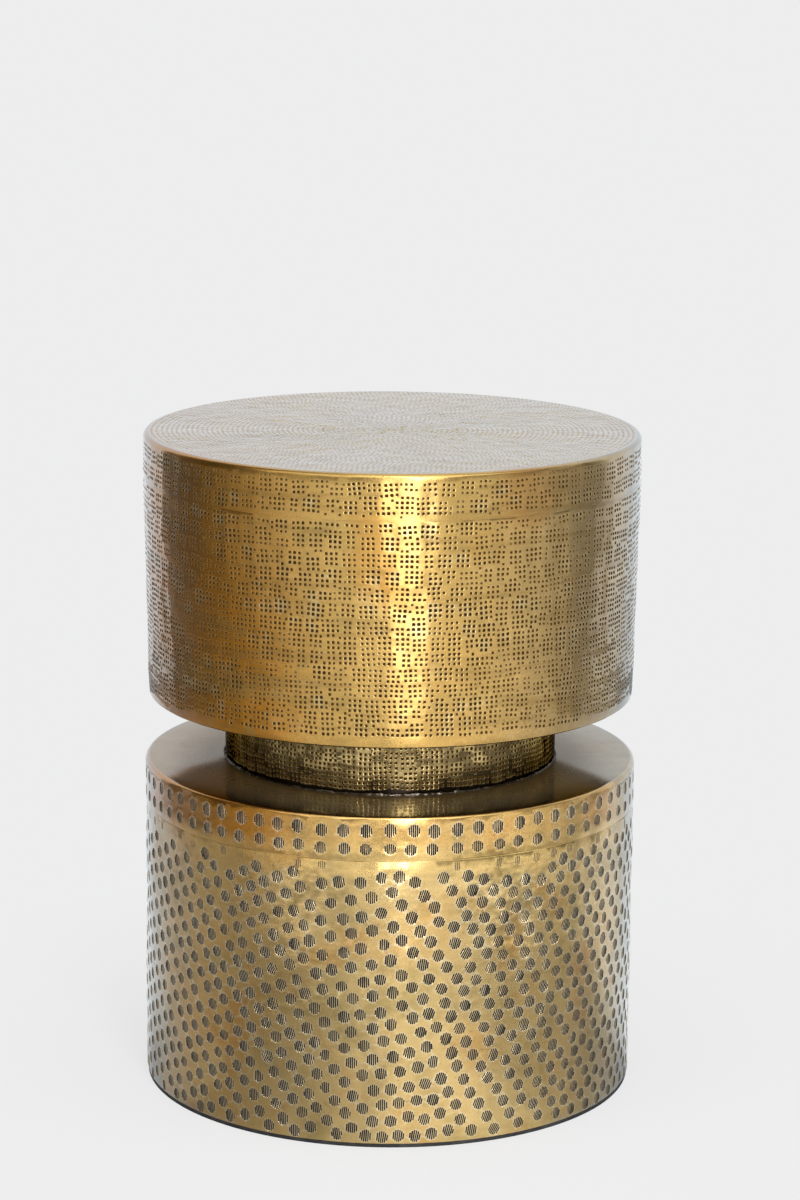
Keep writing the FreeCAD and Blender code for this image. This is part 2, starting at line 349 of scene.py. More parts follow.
def ribs_of(rng, centre, width, height, tilt, force, ribs, neighbours, limits):
    """The grooves of one round mark: hexagon rings, two-point cores, depths and strengths.

    They stop short of the neighbours, each a centre in this mark's own axes and a reach, and
    of the limits, a lowest and a highest place.
    """
    rings, cores, depths, wear = [], [], [], []
    fan = rng.normal(0, 0.10)
    shift = rng.uniform(-0.2, 0.2)
    for index in range(ribs):
        x = (index - (ribs - 1) / 2 + shift) * RIB_PITCH
        share = 1 - (x / (width / 2)) ** 2
        if share < 0.12:
            continue
        half = height / 2 * math.sqrt(share)
        ends = half * rng.uniform(0.95, 1.04, 2)
        weak = force * rng.uniform(0.8, 1.0)
        w = RIB_WIDTH / 2 * (0.6 + 0.4 * weak) * rng.uniform(0.92, 1.06)
        low_end, high_end = ((limit - centre[1] - x * math.sin(tilt)) / math.cos(tilt)
                             for limit in limits)
        top, bottom = min(ends[0], high_end), max(-ends[1], low_end)
        for (dx, dy), extent in neighbours:
            chord = (extent + w) ** 2 - (x - dx) ** 2
            if chord > 0 and dy > 0:
                top = min(top, dy - math.sqrt(chord))
            elif chord > 0:
                bottom = max(bottom, dy + math.sqrt(chord))
        if top - bottom < SHORTEST_RIB:
            continue
        upper, lower = top - 0.9 * w, bottom + 0.9 * w
        outline = [(0, top), (w, upper), (w, lower), (0, bottom), (-w, lower), (-w, upper)]
        core = [(0, top - w), (0, bottom + w)]
        bent = [(x * (1 + fan * b / height) + a, b) for a, b in outline + core]
        turned = turn_points(np.array(bent)[None], np.array([tilt]))[0] + centre
        rings.append(turned[:6])
        cores.append(turned[6:])
        depths.append(RIB_DEPTH * weak)
        wear.append(0.3 + 0.7 * weak)
    return rings, cores, depths, wear


def round_dents(marks, rng, limits, centres, widths, heights, tilts, forces):
    """Round ribbed marks: rings of loose points around each, and grooves inside them."""
    rings, cores, depths, wear = [], [], [], []
    extents = np.maximum(widths, heights) * 0.52 + 0.35 * MM
    for index, (centre, width, height, tilt, force) in enumerate(
            zip(centres, widths, heights, tilts, forces)):
        away = centres[:index] - centre
        near = np.hypot(*away.T) < 2.4 * ROUND_SIZE
        inside = turn_points(away[near][None], np.array([-tilt]))[0]
        made = ribs_of(rng, centre, width, height, tilt, force, 6 if width > 7 * MM else 5,
                       list(zip(inside.tolist(), extents[:index][near].tolist())), limits)
        for kept, new in zip((rings, cores, depths, wear), made):
            kept += new
    marks.add_dents(np.array(rings), np.array(cores), np.array(depths), np.array(wear))
    edge, wear, owner = [], [], []
    for count, size, value in ROUND_RINGS:
        rim = (np.arange(count) + 0.5 * (count % 2)) / count * TURN
        loop = paired(np.cos(rim), np.sin(rim))[None] * paired(widths, heights)[:, None] * size
        edge.append((turn_points(loop, tilts) + centres[:, None]).reshape(-1, 2))
        wear.append(np.full(len(edge[-1]), value))
        owner.append(np.repeat(np.arange(len(centres)), count))
    edge, wear, owner = map(np.concatenate, (edge, wear, owner))
    clear = (edge[:, 1] > limits[0]) & (edge[:, 1] < limits[1])
    for index, centre in enumerate(centres):
        near = np.hypot(*(edge - centre).T) < extents[index] + 0.1 * MM
        clear[near & (owner != index)] = False
    edge, wear = edge[clear], wear[clear]
    kept = spaced(edge, 0.9 * MM)
    marks.add_points(edge[kept], wear=wear[kept])
    marks.centres.append(centres)


class Dishes:
    """Shallow round hollows, each with a raised rim."""

    def __init__(self, centres, sizes, forces, depth, burr):
        self.centres, self.sizes, self.forces = centres, sizes, forces
        self.depth, self.burr = depth, burr

    def __call__(self, points):
        depth = np.zeros(len(points))
        order = np.argsort(points[:, 0])
        across = points[order, 0]
        for centre, size, force in zip(self.centres, self.sizes, self.forces):
            first, last = np.searchsorted(across, (centre[0] - size, centre[0] + size))
            near = order[first:last]
            near = near[np.abs(points[near, 1] - centre[1]) < size]
            distance = np.hypot(*(points[near] - centre).T) / (size / 2)
            hollow = -self.depth * force * np.clip(1 - distance ** 2, 0, 1)
            burr = self.burr * force * np.exp(-((distance - 1.18) / 0.22) ** 2)
            depth[near] = np.minimum(depth[near], hollow) + burr
        return depth


def triangulate(marks, border, border_edges, grid_points, clearance):
    """A flat region's points, depths, patinas, wears, rims and triangles.

    It is made of a border, marks, and the points of a loose grid that are clear of the marks.
    """
    rows = np.concatenate(marks.rows)
    if marks.centres and len(grid_points):
        cells = Cells(clearance)
        for centre in np.concatenate(marks.centres).tolist():
            cells.add(*centre)
        free = [point for point in grid_points.tolist()
                if all(a * a + b * b > clearance ** 2 for a, b in cells.offsets(*point))]
        grid_points = np.array(free).reshape(-1, 2)
    loose = len(border) + len(grid_points)
    everything = np.concatenate([border, grid_points, rows[:, :2]])
    constraints = np.concatenate([border_edges, np.concatenate(marks.edges) + loose])
    found, _, faces, origins, _, _ = delaunay_2d_cdt(
        (everything / MM).tolist(), constraints.tolist(), [], 0, 1e-5, True)
    if len(found) != len(everything) or any(o != [i] for i, o in enumerate(origins)):
        raise ValueError("punch marks cross each other: %d points became %d"
                         % (len(everything), len(found)))
    values = np.concatenate([np.zeros((loose, 4)), rows[:, 2:]])
    return everything, *values.T, np.array(faces)


# ---------------------------------------------------------------- meshes

class Skin:
    """A closed sheet-metal mesh under construction.

    Each row is a vertex: its place, patina, wear, braze and the number of its rim, or 0.
    """

    def __init__(self, columns=COLUMNS):
        self.columns = columns
        self.angles = SEAM_ANGLE + np.arange(columns) / columns * TURN
        self.rows, self.faces = [], []
        self.count = 0
        self.rim_count = 0
        self.second_from = None     # first face of the second material

    def add(self, points, patina=0.0, wear=0.0, rims=0, braze=0.0):
        """New vertices. Gives their indices."""
        number = len(points)
        rims = np.broadcast_to(rims, number).astype(int)
        values = [np.broadcast_to(value, number) for value in (patina, wear, braze)]
        numbers = np.where(rims > 0, rims + self.rim_count, 0)
        self.rows.append(np.column_stack([points, *values, numbers]))
        self.rim_count += int(rims.max(initial=0))
        self.count += number
        return np.arange(self.count - number, self.count)

    def ring(self, radius, height):
        """A ring of vertices about the axis. Radius and height may vary along it."""
        return self.add(about_axis(radius, self.angles, height))

    def bridge(self, below, above):
        """Quads between two rings, facing outward when the second is above the first."""
        quads = zip(below, np.roll(below, -1), np.roll(above, -1), above)
        self.faces += [tuple(map(int, quad)) for quad in quads]

    def close(self, rings):
        """Quads between each ring and the next, and between the last and the first."""
        for first, second in zip(rings, rings[1:] + rings[:1]):
            self.bridge(first, second)

    def lathe(self, start, profile, end=None):
        """Rings along a section from one ring of vertices to another."""
        for radius, height in profile:
            ring = self.ring(radius, height)
            self.bridge(start, ring)
            start = ring
        if end is not None:
            self.bridge(start, end)
        return start

    def wall(self, marks, section, bottom, top, relief, rng, grid, clearance, seam=True):
        """A rolled sheet with marks. Gives its bottom and top rings."""
        length = TURN * section(0.5 * (bottom + top))[0]
        along = np.arange(self.columns + 1) / self.columns * length
        rows = max(2, int((top - bottom) / grid))
        side = np.linspace(bottom, top, rows + 1)[1:-1]
        count = self.columns + 1
        border = np.concatenate([paired(along, bottom), paired(along, top),
                                 paired(0, side), paired(length, side)])
        lower, upper = np.arange(count), count + np.arange(count)
        left = 2 * count + np.arange(len(side))
        right = left + len(side)
        border_edges = np.concatenate([chained(np.array(chain)) for chain in (
            lower, upper, [lower[0], *left, upper[0]], [lower[-1], *right, upper[-1]])])
        steps = int(length / grid)
        u, v = np.meshgrid((np.arange(steps) + 0.5) * length / steps, side)
        loose = paired(u.ravel(), v.ravel())
        loose += rng.uniform(-0.2, 0.2, loose.shape) * grid
        flat, depth, patina, wear, rims, faces = triangulate(
            marks, border, border_edges, loose, clearance)
        angle = SEAM_ANGLE + flat[:, 0] / length * TURN
        radius, height = section(flat[:, 1])
        radius = radius + relief(flat, angle) + depth
        from_seam = np.minimum(flat[:, 0], length - flat[:, 0])
        brazed = seam & (from_seam < SEAM_BRAZE)
        radius = radius - SEAM_DIP * brazed
        ids = self.add(about_axis(radius, angle, height), patina, wear, rims, brazed)
        twin = ids.copy()
        twin[right], twin[lower[-1]], twin[upper[-1]] = ids[left], ids[0], ids[upper[0]]
        self.faces += [tuple(f) for f in twin[faces].tolist()]
        return ids[lower[:-1]], ids[upper[:-1]]

    def disc(self, marks, edge, relief, grid, clearance, hole=None, up=True):
        """A flat plate inside a ring of vertices, with marks and perhaps a round hole."""
        rim = self.points_at(edge)
        border = rim[:, :2]
        count = len(border)
        border_edges = chained(np.arange(count), closed=True)
        height = rim[0, 2]
        radius = np.hypot(*border.T).min()
        if hole is not None:
            inner = self.points_at(hole)[:, :2]
            loop = count + np.arange(len(inner))
            border = np.concatenate([border, inner])
            border_edges = np.concatenate([border_edges, chained(loop, closed=True)])
        steps = np.arange(-radius, radius, grid)
        x, y = np.meshgrid(steps, steps)
        x[::2] += grid / 2
        loose = paired(x.ravel(), y.ravel())
        loose = loose[np.hypot(*loose.T) < radius - 0.6 * grid]
        if hole is not None:
            centre = inner.mean(axis=0)
            loose = loose[np.hypot(*(loose - centre).T) > VENT_RADIUS + 0.5 * grid]
        flat, depth, patina, wear, rims, faces = triangulate(
            marks, border, border_edges, loose, clearance)
        if hole is not None:
            middles = flat[faces].mean(axis=1)
            faces = faces[np.hypot(*(middles - centre).T) > VENT_RADIUS * 0.99]
        given = len(border)
        sign = 1 if up else -1
        inside = flat[given:]
        z = height + sign * (relief(inside) + depth[given:])
        points = np.concatenate([inside, z[:, None]], axis=1)
        ids = self.add(points, patina[given:], wear[given:], rims[given:])
        known = list(edge) + (list(hole) if hole is not None else [])
        ids = np.concatenate([np.array(known, int), ids])
        faces = ids[faces]
        self.faces += [tuple(f) for f in (faces if up else faces[:, ::-1]).tolist()]

    def points_at(self, ids):
        """Places of vertices that were added before."""
        return np.concatenate(self.rows)[ids, :3]

    def piece(self, name, materials, node, slot, crease=35):
        """The finished object, standing for a node of the frame."""
        mesh = bpy.data.meshes.new(name)
        rows = np.concatenate(self.rows)
        mesh.from_pydata(rows[:, :3].tolist(), [], self.faces)
        for label, values in zip(("patina", "wear", "braze"), rows[:, 3:6].T):
            attribute = mesh.attributes.new(label, "FLOAT", "POINT")
            attribute.data.foreach_set("value", values.astype(np.float32))
        mesh.shade_smooth()
        mesh.set_sharp_from_angle(angle=math.radians(crease))
        ends = np.empty(len(mesh.edges) * 2, int)
        mesh.edges.foreach_get("vertices", ends)
        ends = rows[ends.reshape(-1, 2), 6]
        sharp = np.empty(len(mesh.edges), bool)
        mesh.edges.foreach_get("use_edge_sharp", sharp)
        sharp |= (ends[:, 0] > 0) & (ends[:, 0] == ends[:, 1])
        mesh.edges.foreach_set("use_edge_sharp", sharp)
        if mesh.validate(verbose=False):
            raise ValueError(name + " had faulty faces")
        if self.second_from is not None:
            second = np.arange(len(self.faces)) >= self.second_from
            mesh.polygons.foreach_set("material_index", second.astype(int))
        return place(bpy.data.objects.new(name, mesh), materials, node, slot)


def place(piece, materials, node, slot):
    """Links a piece, gives it its materials and lets it stand for a node."""
    bpy.context.scene.collection.objects.link(piece)
    for material in materials:
        piece.data.materials.append(material)
    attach(piece, "root")
    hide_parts(node)
    return piece


def arc(centre_radius, centre_height, radius, start, end, steps):
    """Points of a section along an arc, in degrees, without its first one."""
    turns = np.radians(np.linspace(start, end, steps + 1))[1:]
    return [(centre_radius + radius * math.cos(t), centre_height + radius * math.sin(t))
            for t in turns]


# ---------------------------------------------------------------- the drums' sections

HEM_TURN = 0.6                # radians of the hem's curl that carry marks
HEM_START = CURL_RADIUS * HEM_TURN


def drum_section(foot, top_radius, wire_z, step_z):
    """Radius and height of a shell's outside at a pattern height, which follows the hem."""
    def section(v):
        v = np.asarray(v, float)
        turn = np.clip((wire_z - v) / CURL_RADIUS, 0, None)
        rise = np.clip((v - wire_z) / (step_z - wire_z), 0, None)
        radius = foot + (top_radius - foot) * rise - CURL_RADIUS * (1 - np.cos(turn))
        height = np.where(turn > 0, wire_z - CURL_RADIUS * np.sin(turn), v)
        return radius, height
    return section


def skirt_section(radius, corner, top):
    """Radius and height of a skirt's outside, which follows the corner above it."""
    bend = top - corner

    def section(v):
        v = np.asarray(v, float)
        turn = np.clip((v - bend) / corner, 0, None)
        return (radius - corner * (1 - np.cos(turn)),
                np.where(turn > 0, bend + corner * np.sin(turn), v))
    return section


def hem_profile(foot, wire_z):
    """From the marked part of a hem, round the wire, to the inside of the wall."""
    middle = foot - CURL_RADIUS
    start = -math.degrees(HEM_TURN)
    profile = arc(middle, wire_z, CURL_RADIUS, start, -270, 9)
    profile += [(middle, wire_z + WIRE_RADIUS)]
    profile += arc(middle, wire_z, WIRE_RADIUS, -270, 0, 6)
    return profile


def crease(heights, middle, depth, spread):
    """A level groove in a wall, or a ridge where the depth is above zero."""
    return depth * np.exp(-((heights - middle) / spread) ** 2)


def hem_calm(heights, wire_z):
    """The share of a wall's waves that is left near its hem."""
    return np.clip((heights - wire_z) / (6 * MM), 0.25, 1)


def polar(points):
    """Distances and angles of flat points from the middle."""
    return np.hypot(*points.T), np.arctan2(points[:, 1], points[:, 0])


def shell(name, marks, material, foot, top_radius, wire_z, skirt_end, end, relief, rng,
          grid, clearance):
    """A drum's wall: marked outside, curled hem, and the lap that the skirt covers."""
    skin = Skin()
    step_z = skirt_end - LAP_HEIGHT
    section = drum_section(foot, top_radius, wire_z, step_z)
    bottom, top = skin.wall(marks, section, wire_z - HEM_START, step_z, relief, rng,
                            grid, clearance)
    lap = top_radius - SHEET
    above = [(lap, skirt_end), (lap, end), (lap - SHEET, end), (lap - SHEET, skirt_end),
             (top_radius - SHEET, step_z)]
    hem = hem_profile(foot, wire_z)[::-1]
    skin.lathe(top, above + hem, bottom)
    return skin.piece(name, [material], name.replace("_wall", "_shell"), "hammered_brass")


def cap(name, skirt_marks, disc_marks, materials, radius, top, corner, skirt_end, relief,
        disc_relief, rng, grid, clearance, disc_grid, disc_clearance, node, slot, vent=False):
    """A plate with a rounded edge and a turned-down skirt, both of which can have marks."""
    skin = Skin()
    bend = top - corner
    section = skirt_section(radius, corner, top)
    tip = bend + corner * CORNER_TURN
    bottom, upper = skin.wall(skirt_marks, section, skirt_end, tip, relief, rng,
                              grid, clearance, seam=False)
    start = math.degrees(CORNER_TURN)
    edge = skin.lathe(upper, arc(radius - corner, bend, corner, start, 90, 6))
    inner = corner - SHEET
    under = skin.ring(radius - corner, top - SHEET)
    down = arc(radius - corner, bend, inner, 90, 0, 4) + [(radius - SHEET, skirt_end)]
    skin.lathe(under, down, bottom)
    hole_above = hole_below = None
    if vent:
        turns = -np.arange(VENT_STEPS) / VENT_STEPS * TURN
        hole_above, hole_below = (
            skin.add(about_axis(VENT_RADIUS, turns, height) + (*VENT_CENTRE, 0))
            for height in (top, top - SHEET))
        skin.bridge(hole_below, hole_above)
    skin.second_from = len(skin.faces)
    skin.disc(disc_marks, edge, disc_relief, disc_grid, disc_clearance, hole_above)
    skin.disc(Marks(), under, lambda p: np.zeros(len(p)), 12 * MM, 1, hole_below, up=False)
    return skin.piece(name, materials, node, slot)


# ---------------------------------------------------------------- materials

class Graph:
    """Shorthand for a node tree."""

    def __init__(self, tree):
        self.tree = tree
        tree.nodes.clear()

    def node(self, kind, inputs=None, **settings):
        """A node with its settings and inputs, each a value or another node's output."""
        made = self.tree.nodes.new(kind)
        for key, value in settings.items():
            setattr(made, key, value)
        for key, value in (inputs or {}).items():
            self.feed(made.inputs[key], value)
        return made

    def feed(self, socket, value):
        if isinstance(value, bpy.types.NodeSocket):
            self.tree.links.new(value, socket)
        else:
            socket.default_value = value

    def math(self, operation, a, b=0.0, clamp=False):
        made = self.node("ShaderNodeMath", {0: a, 1: b}, operation=operation)
        made.use_clamp = clamp
        return made.outputs[0]

    def plus(self, a, b, clamp=False):
        return self.math("ADD", a, b, clamp)

    def times(self, a, b, clamp=False):
        return self.math("MULTIPLY", a, b, clamp)

    def noise(self, vector, scale, detail=4.0, rough=0.55, distortion=0.0):
        inputs = {"Vector": vector, "Scale": scale, "Detail": detail, "Roughness": rough,
                  "Distortion": distortion}
        return self.node("ShaderNodeTexNoise", inputs).outputs["Fac"]

    def stretch(self, vector, scale):
        """A vector scaled along each axis, which stretches the texture that reads it."""
        return self.node("ShaderNodeMapping", {"Vector": vector, "Scale": scale}).outputs[0]

    def window(self, value, start, end, low=0.0, high=1.0):
        """A value carried smoothly from one range to another and clamped there."""
        inputs = {"Value": value, "From Min": start, "From Max": end,
                  "To Min": low, "To Max": high}
        return self.node("ShaderNodeMapRange", inputs, interpolation_type="SMOOTHSTEP").outputs[0]

    def mix(self, factor, a, b, blend="MIX"):
        """A colour mix."""
        made = self.node("ShaderNodeMix", data_type="RGBA", blend_type=blend)
        self.feed(made.inputs[0], factor)
        self.feed(made.inputs[6], a)
        self.feed(made.inputs[7], b)
        return made.outputs[2]

    def ramp(self, value, stops, interpolation="EASE"):
        """A colour ramp from (place, colour) stops."""
        made = self.node("ShaderNodeValToRGB", {"Fac": value})
        made.color_ramp.interpolation = interpolation
        elements = made.color_ramp.elements
        while len(elements) < len(stops):
            elements.new(0.5)
        for element, (position, colour) in zip(elements, stops):
            element.position = position
            element.color = colour if len(colour) == 4 else (*colour, 1)
        return made.outputs["Color"]

    def bump(self, height, distance, strength=1.0, normal=None):
        """A normal with a height's bumps on it."""
        inputs = {"Height": height, "Distance": distance, "Strength": strength}
        if normal is not None:
            inputs["Normal"] = normal
        return self.node("ShaderNodeBump", inputs).outputs[0]

    def blend(self, share, first, second):
        """A mix of two shaders."""
        inputs = {0: share, 1: first.outputs[0], 2: second.outputs[0]}
        return self.node("ShaderNodeMixShader", inputs)

    def surface(self, shader, owner="Material"):
        """Ends the tree with a shader."""
        output = self.node("ShaderNodeOutput" + owner)
        self.feed(output.inputs["Surface"], shader.outputs[0])


GOLD = (0.62, 0.400, 0.122, 1)
AMBER = (0.58, 0.245, 0.026, 1)
OLIVE = (0.37, 0.27, 0.092, 1)
PALE = (0.78, 0.60, 0.29, 1)
UMBER = (0.066, 0.030, 0.004, 1)
BROWN = (0.30, 0.180, 0.050, 1)
# Dirt, which also stands for painted shade where a brass is dark all over
GRIME_AND_SHADE = (0.045, 0.030, 0.013, 1)
SOOT = (0.040, 0.019, 0.004, 1)
SLATE = (0.020, 0.020, 0.023, 1)
# Rubbed rims, and painted highlights on rims and mark edges
BRIGHT = (0.80, 0.60, 0.26, 1)
POLISHED = (0.80, 0.55, 0.20, 1)
DULL = (0.42, 0.37, 0.28, 1)
# Char, and painted shade in the crease at the neck's foot
SHADE_AND_CHAR = (0.020, 0.017, 0.015, 1)
FILLED_TINT = (0.02, 0.02, 0.02, 1)

# Between which places the finish changes
LEFT_SIDE = (-30 * MM, -170 * MM)                                    # across: amber sets in
RIGHT_SIDE = (40 * MM, 200 * MM)                                     # across: olive and haze
UPPER_WARMTH = (TOP_SKIRT_END - 3 * MM, UPPER_WIRE_Z + 20.8 * MM)
SHOULDER_WARMTH = (SHOULDER_SKIRT_END - 4 * MM, SHOULDER_SKIRT_END + 20 * MM)
SEAM_POLISH = (SHOULDER_SKIRT_END - 24 * MM, SHOULDER_SKIRT_END - 4 * MM)
# Where the neck's foot, in the crease at the shoulder, is black with char and painted shade
NECK_SHADE_AND_CHAR = (SHOULDER_TOP + 21 * MM, SHOULDER_TOP + 9 * MM)
# Where the shoulder is discoloured from brazing and darkened as painted shade under the upper
# drum
SHOULDER_STAIN_AND_SHADE = (NECK_RADIUS + 74 * MM, NECK_RADIUS + 14 * MM)       # from the axis
RAGGED = 16 * MM              # how far blots shift the edges of the char and painted shade at the neck's foot, and of the brazing discolouration and painted shade on the shoulder

# The settings of a brass: what each one does, and its value in a plain one
PLAIN_BRASS = {
    "gold": GOLD,             # the clean metal
    "amber": 0.5,             # how much of it turns amber, most on the left
    "warm": None,             # between which heights more turns amber, how much, and on the left
    "polish": None,           # between which heights it is rubbed golden
    "haze": 0.0,              # dullness on the right
    "olive": 0.4,             # olive streaks
    "scratches": 0.4,         # pale upright scratches
    "stripes": 0.0,           # level brown smears
    "mottle": 0.0,            # amber and olive patches
    "dark": 0.0,              # dirt all over, and painted shade where it is high, as on the neck, braze and underside
    "burnt": None,            # between which heights it is black with char and painted shade
    "heat": None,             # between which distances from the axis it is discoloured from brazing and darkened as painted shade
    "dents": UMBER,           # the marks' filling
    "soot": SOOT,             # the filling of the deepest marks
    "dirt": (0.22, 0.40),     # between which shares of a mark's depth the filling sets in
    "grain": (0.7, 1.3),      # how ragged its edge is
    "fill": 1.0,              # how much of it there is
    "bright": BRIGHT,         # the rubbed rims of marks, with painted highlights on them and on the marks' edges
    "worn_from": 0.72,        # wear from which a rim is rubbed and painted bright as a highlight
    "burnished": (0.2, 0.6),  # how bright rims get, from wear and painted highlight
    "bevel": 0.0,             # how bright the painted highlight on the edge of a mark is
    "rough": (0.24, 0.38),    # roughness of smooth and of rough patches
    "aniso": 0.5,             # stretch of the highlights around the axis
    "hammer": 0.0,            # height of the hammer's blows
    "lean": 0.0,              # slope of the reflections away from the camera side
    "edge_tint": (0.3, 0.5, 0.95),
    "coat": (0.12, 1.0),      # lacquer seen square on and at a grazing angle
    "shine": (0.32, 0.68),    # between which angles it goes from one to the other
    "coat_rough": 0.10,
}


def new_material(name):
    """A material, its emptied graph and the place on the object."""
    material = bpy.data.materials.new(name)
    material.use_nodes = True
    g = Graph(material.node_tree)
    return material, g, g.node("ShaderNodeTexCoord").outputs["Object"]


class Ground:
    """The mesh's own values and the textures that several layers of a brass read."""

    def __init__(self, g, where):
        self.where = where
        self.x, self.y, self.z = g.node("ShaderNodeSeparateXYZ", {0: where}).outputs
        self.pits, self.worn, self.joint = (
            g.node("ShaderNodeAttribute", attribute_name=label).outputs["Fac"]
            for label in ("patina", "wear", "braze"))
        self.clouds = g.noise(where, 9.0, 3.0, 0.5)
        self.blots = g.noise(where, 38.0, 4.0, 0.6, 0.4)
        self.fine = g.noise(where, 420.0, 3.0, 0.6)
        self.to_left = g.window(self.x, *LEFT_SIDE)
        self.to_right = g.window(self.x, *RIGHT_SIDE)


def ragged(g, at, distance):
    """A distance with the blots' shifts."""
    return g.plus(distance, g.times(at.blots, RAGGED))


def gilded(g, look, at):
    """Clouded gold that turns amber, olive, pale and hazy in places."""
    amber = g.times(g.plus(at.to_left, g.window(at.clouds, 0.5, 0.7, 0, 0.6)), look.amber, True)
    if look.warm:
        start, end, share, left_share = look.warm
        side = g.plus(share, g.times(at.to_left, left_share))
        amber = g.plus(amber, g.times(g.window(at.z, start, end), side), True)
    gold = look.gold
    if look.polish:
        gold = g.mix(g.window(at.z, *look.polish, 0.0, 0.85), gold, POLISHED)
    colour = g.mix(amber, gold, AMBER)
    if look.haze:
        colour = g.mix(g.times(at.to_right, look.haze), colour, DULL)
    clean = g.math("SUBTRACT", 1.0, g.times(amber, 0.8), True)
    streaks = g.noise(g.stretch(at.where, (34, 34, 5)), 1.0, 3.0, 0.55)
    olive = g.times(g.window(streaks, 0.42, 0.66), g.plus(g.times(at.to_right, 0.6), 0.35))
    olive = g.times(olive, clean)
    colour = g.mix(g.times(olive, look.olive, True), colour, OLIVE)
    pale = g.times(g.window(at.blots, 0.55, 0.75, 0, 0.35), clean)
    colour = g.mix(pale, colour, PALE)
    colour = g.mix(g.window(at.blots, 0.44, 0.28, 0, 0.45), colour, OLIVE)
    upright = g.noise(g.stretch(at.where, (900, 900, 35)), 1.0, 2.0, 0.5)
    colour = g.mix(g.window(upright, 0.66, 0.78, 0, look.scratches), colour, PALE)
    bands = g.noise(g.stretch(at.where, (3, 3, 42)), 1.0, 3.0, 0.6)
    return g.mix(g.window(bands, 0.52, 0.70, 0, 0.38), colour, OLIVE)


def aged(g, look, at, colour):
    """Smears, patches, stains, dirt and painted shade, and char with painted shade at a foot,
    over a colour.
    """
    if look.stripes:
        smears = g.noise(g.stretch(at.where, (9, 9, 95)), 1.0, 3.0, 0.6, 0.6)
        colour = g.mix(g.window(smears, 0.46, 0.70, 0, look.stripes), colour, BROWN)
    if look.mottle:
        patches = g.noise(at.where, 21.0, 3.0, 0.55, 0.5)
        colour = g.mix(g.window(patches, 0.54, 0.68, 0, look.mottle), colour, AMBER)
        colour = g.mix(g.window(patches, 0.46, 0.34, 0, look.mottle), colour, OLIVE)
    stain = g.times(g.window(at.fine, 0.62, 0.74), g.window(at.clouds, 0.35, 0.6, 0.1, 0.5))
    colour = g.mix(stain, colour, UMBER)
    # Dirt in blots; at a high dark setting, as on the neck, braze and underside, it is painted
    # shade
    if look.dark:
        grime_and_shade = g.times(g.window(at.blots, 0.25, 0.62, 0.75, 1.0), look.dark)
        colour = g.mix(grime_and_shade, colour, GRIME_AND_SHADE)
    # Char and painted shade in the crease at a foot
    if look.burnt:
        char_and_shade = g.window(ragged(g, at, at.z), *look.burnt, 0.0, 0.92)
        colour = g.mix(char_and_shade, colour, SHADE_AND_CHAR)
    return colour


def stain_and_shade_share(g, look, at):
    """How far the metal is discoloured from brazing and darkened as painted shade, by its
    distance from the axis.
    """
    level = g.node("ShaderNodeCombineXYZ", {0: at.x, 1: at.y})
    away = g.node("ShaderNodeVectorMath", {0: level.outputs[0]}, operation="LENGTH")
    return g.window(ragged(g, at, away.outputs["Value"]), *look.heat)


def filling(g, look, at):
    """How much dark patina lies in the marks."""
    edge = g.times(at.pits, g.window(at.fine, 0.3, 0.7, *look.grain))
    filled = g.times(g.window(edge, *look.dirt), look.fill)
    return g.times(filled, g.window(at.worn, 0.35, 0.75, 0.75, 1.0))


def marked(g, look, at, colour, filled):
    """Rubbed rims with painted highlights, painted highlights on the marks' edges, dark marks and
    the pale braze of a seam over a colour.
    """
    # Rims rubbed by wear, painted brighter as a highlight
    rubbed_and_highlit = g.times(g.window(at.worn, look.worn_from, 1.0),
                      g.window(at.blots, 0.35, 0.6, *look.burnished))
    colour = g.mix(rubbed_and_highlit, colour, look.bright)
    # A painted highlight along each mark's edge
    if look.bevel:
        colour = g.mix(g.window(at.pits, 0.0, 0.12, 0.0, look.bevel), colour, look.bright)
    colour = g.mix(filled, colour, look.dents)
    colour = g.mix(g.times(filled, g.window(at.worn, 0.78, 1.0)), colour, look.soot)
    return g.mix(g.times(at.joint, 0.6), colour, PALE)


def brushed_normal(g, look, at):
    """Fine brushing around the axis, grain and the hammer's blows."""
    brushed = g.noise(g.stretch(at.where, (90, 90, 1500)), 1.0, 3.0, 0.6)
    normal = g.bump(at.fine, 0.08 * MM, 0.35, g.bump(brushed, 0.05 * MM, 0.35))
    if look.hammer:
        blows = g.noise(g.stretch(at.where, (38, 38, 62)), 1.0, 2.0, 0.5)
        normal = g.bump(blows, look.hammer, 1.0, normal)
    return normal


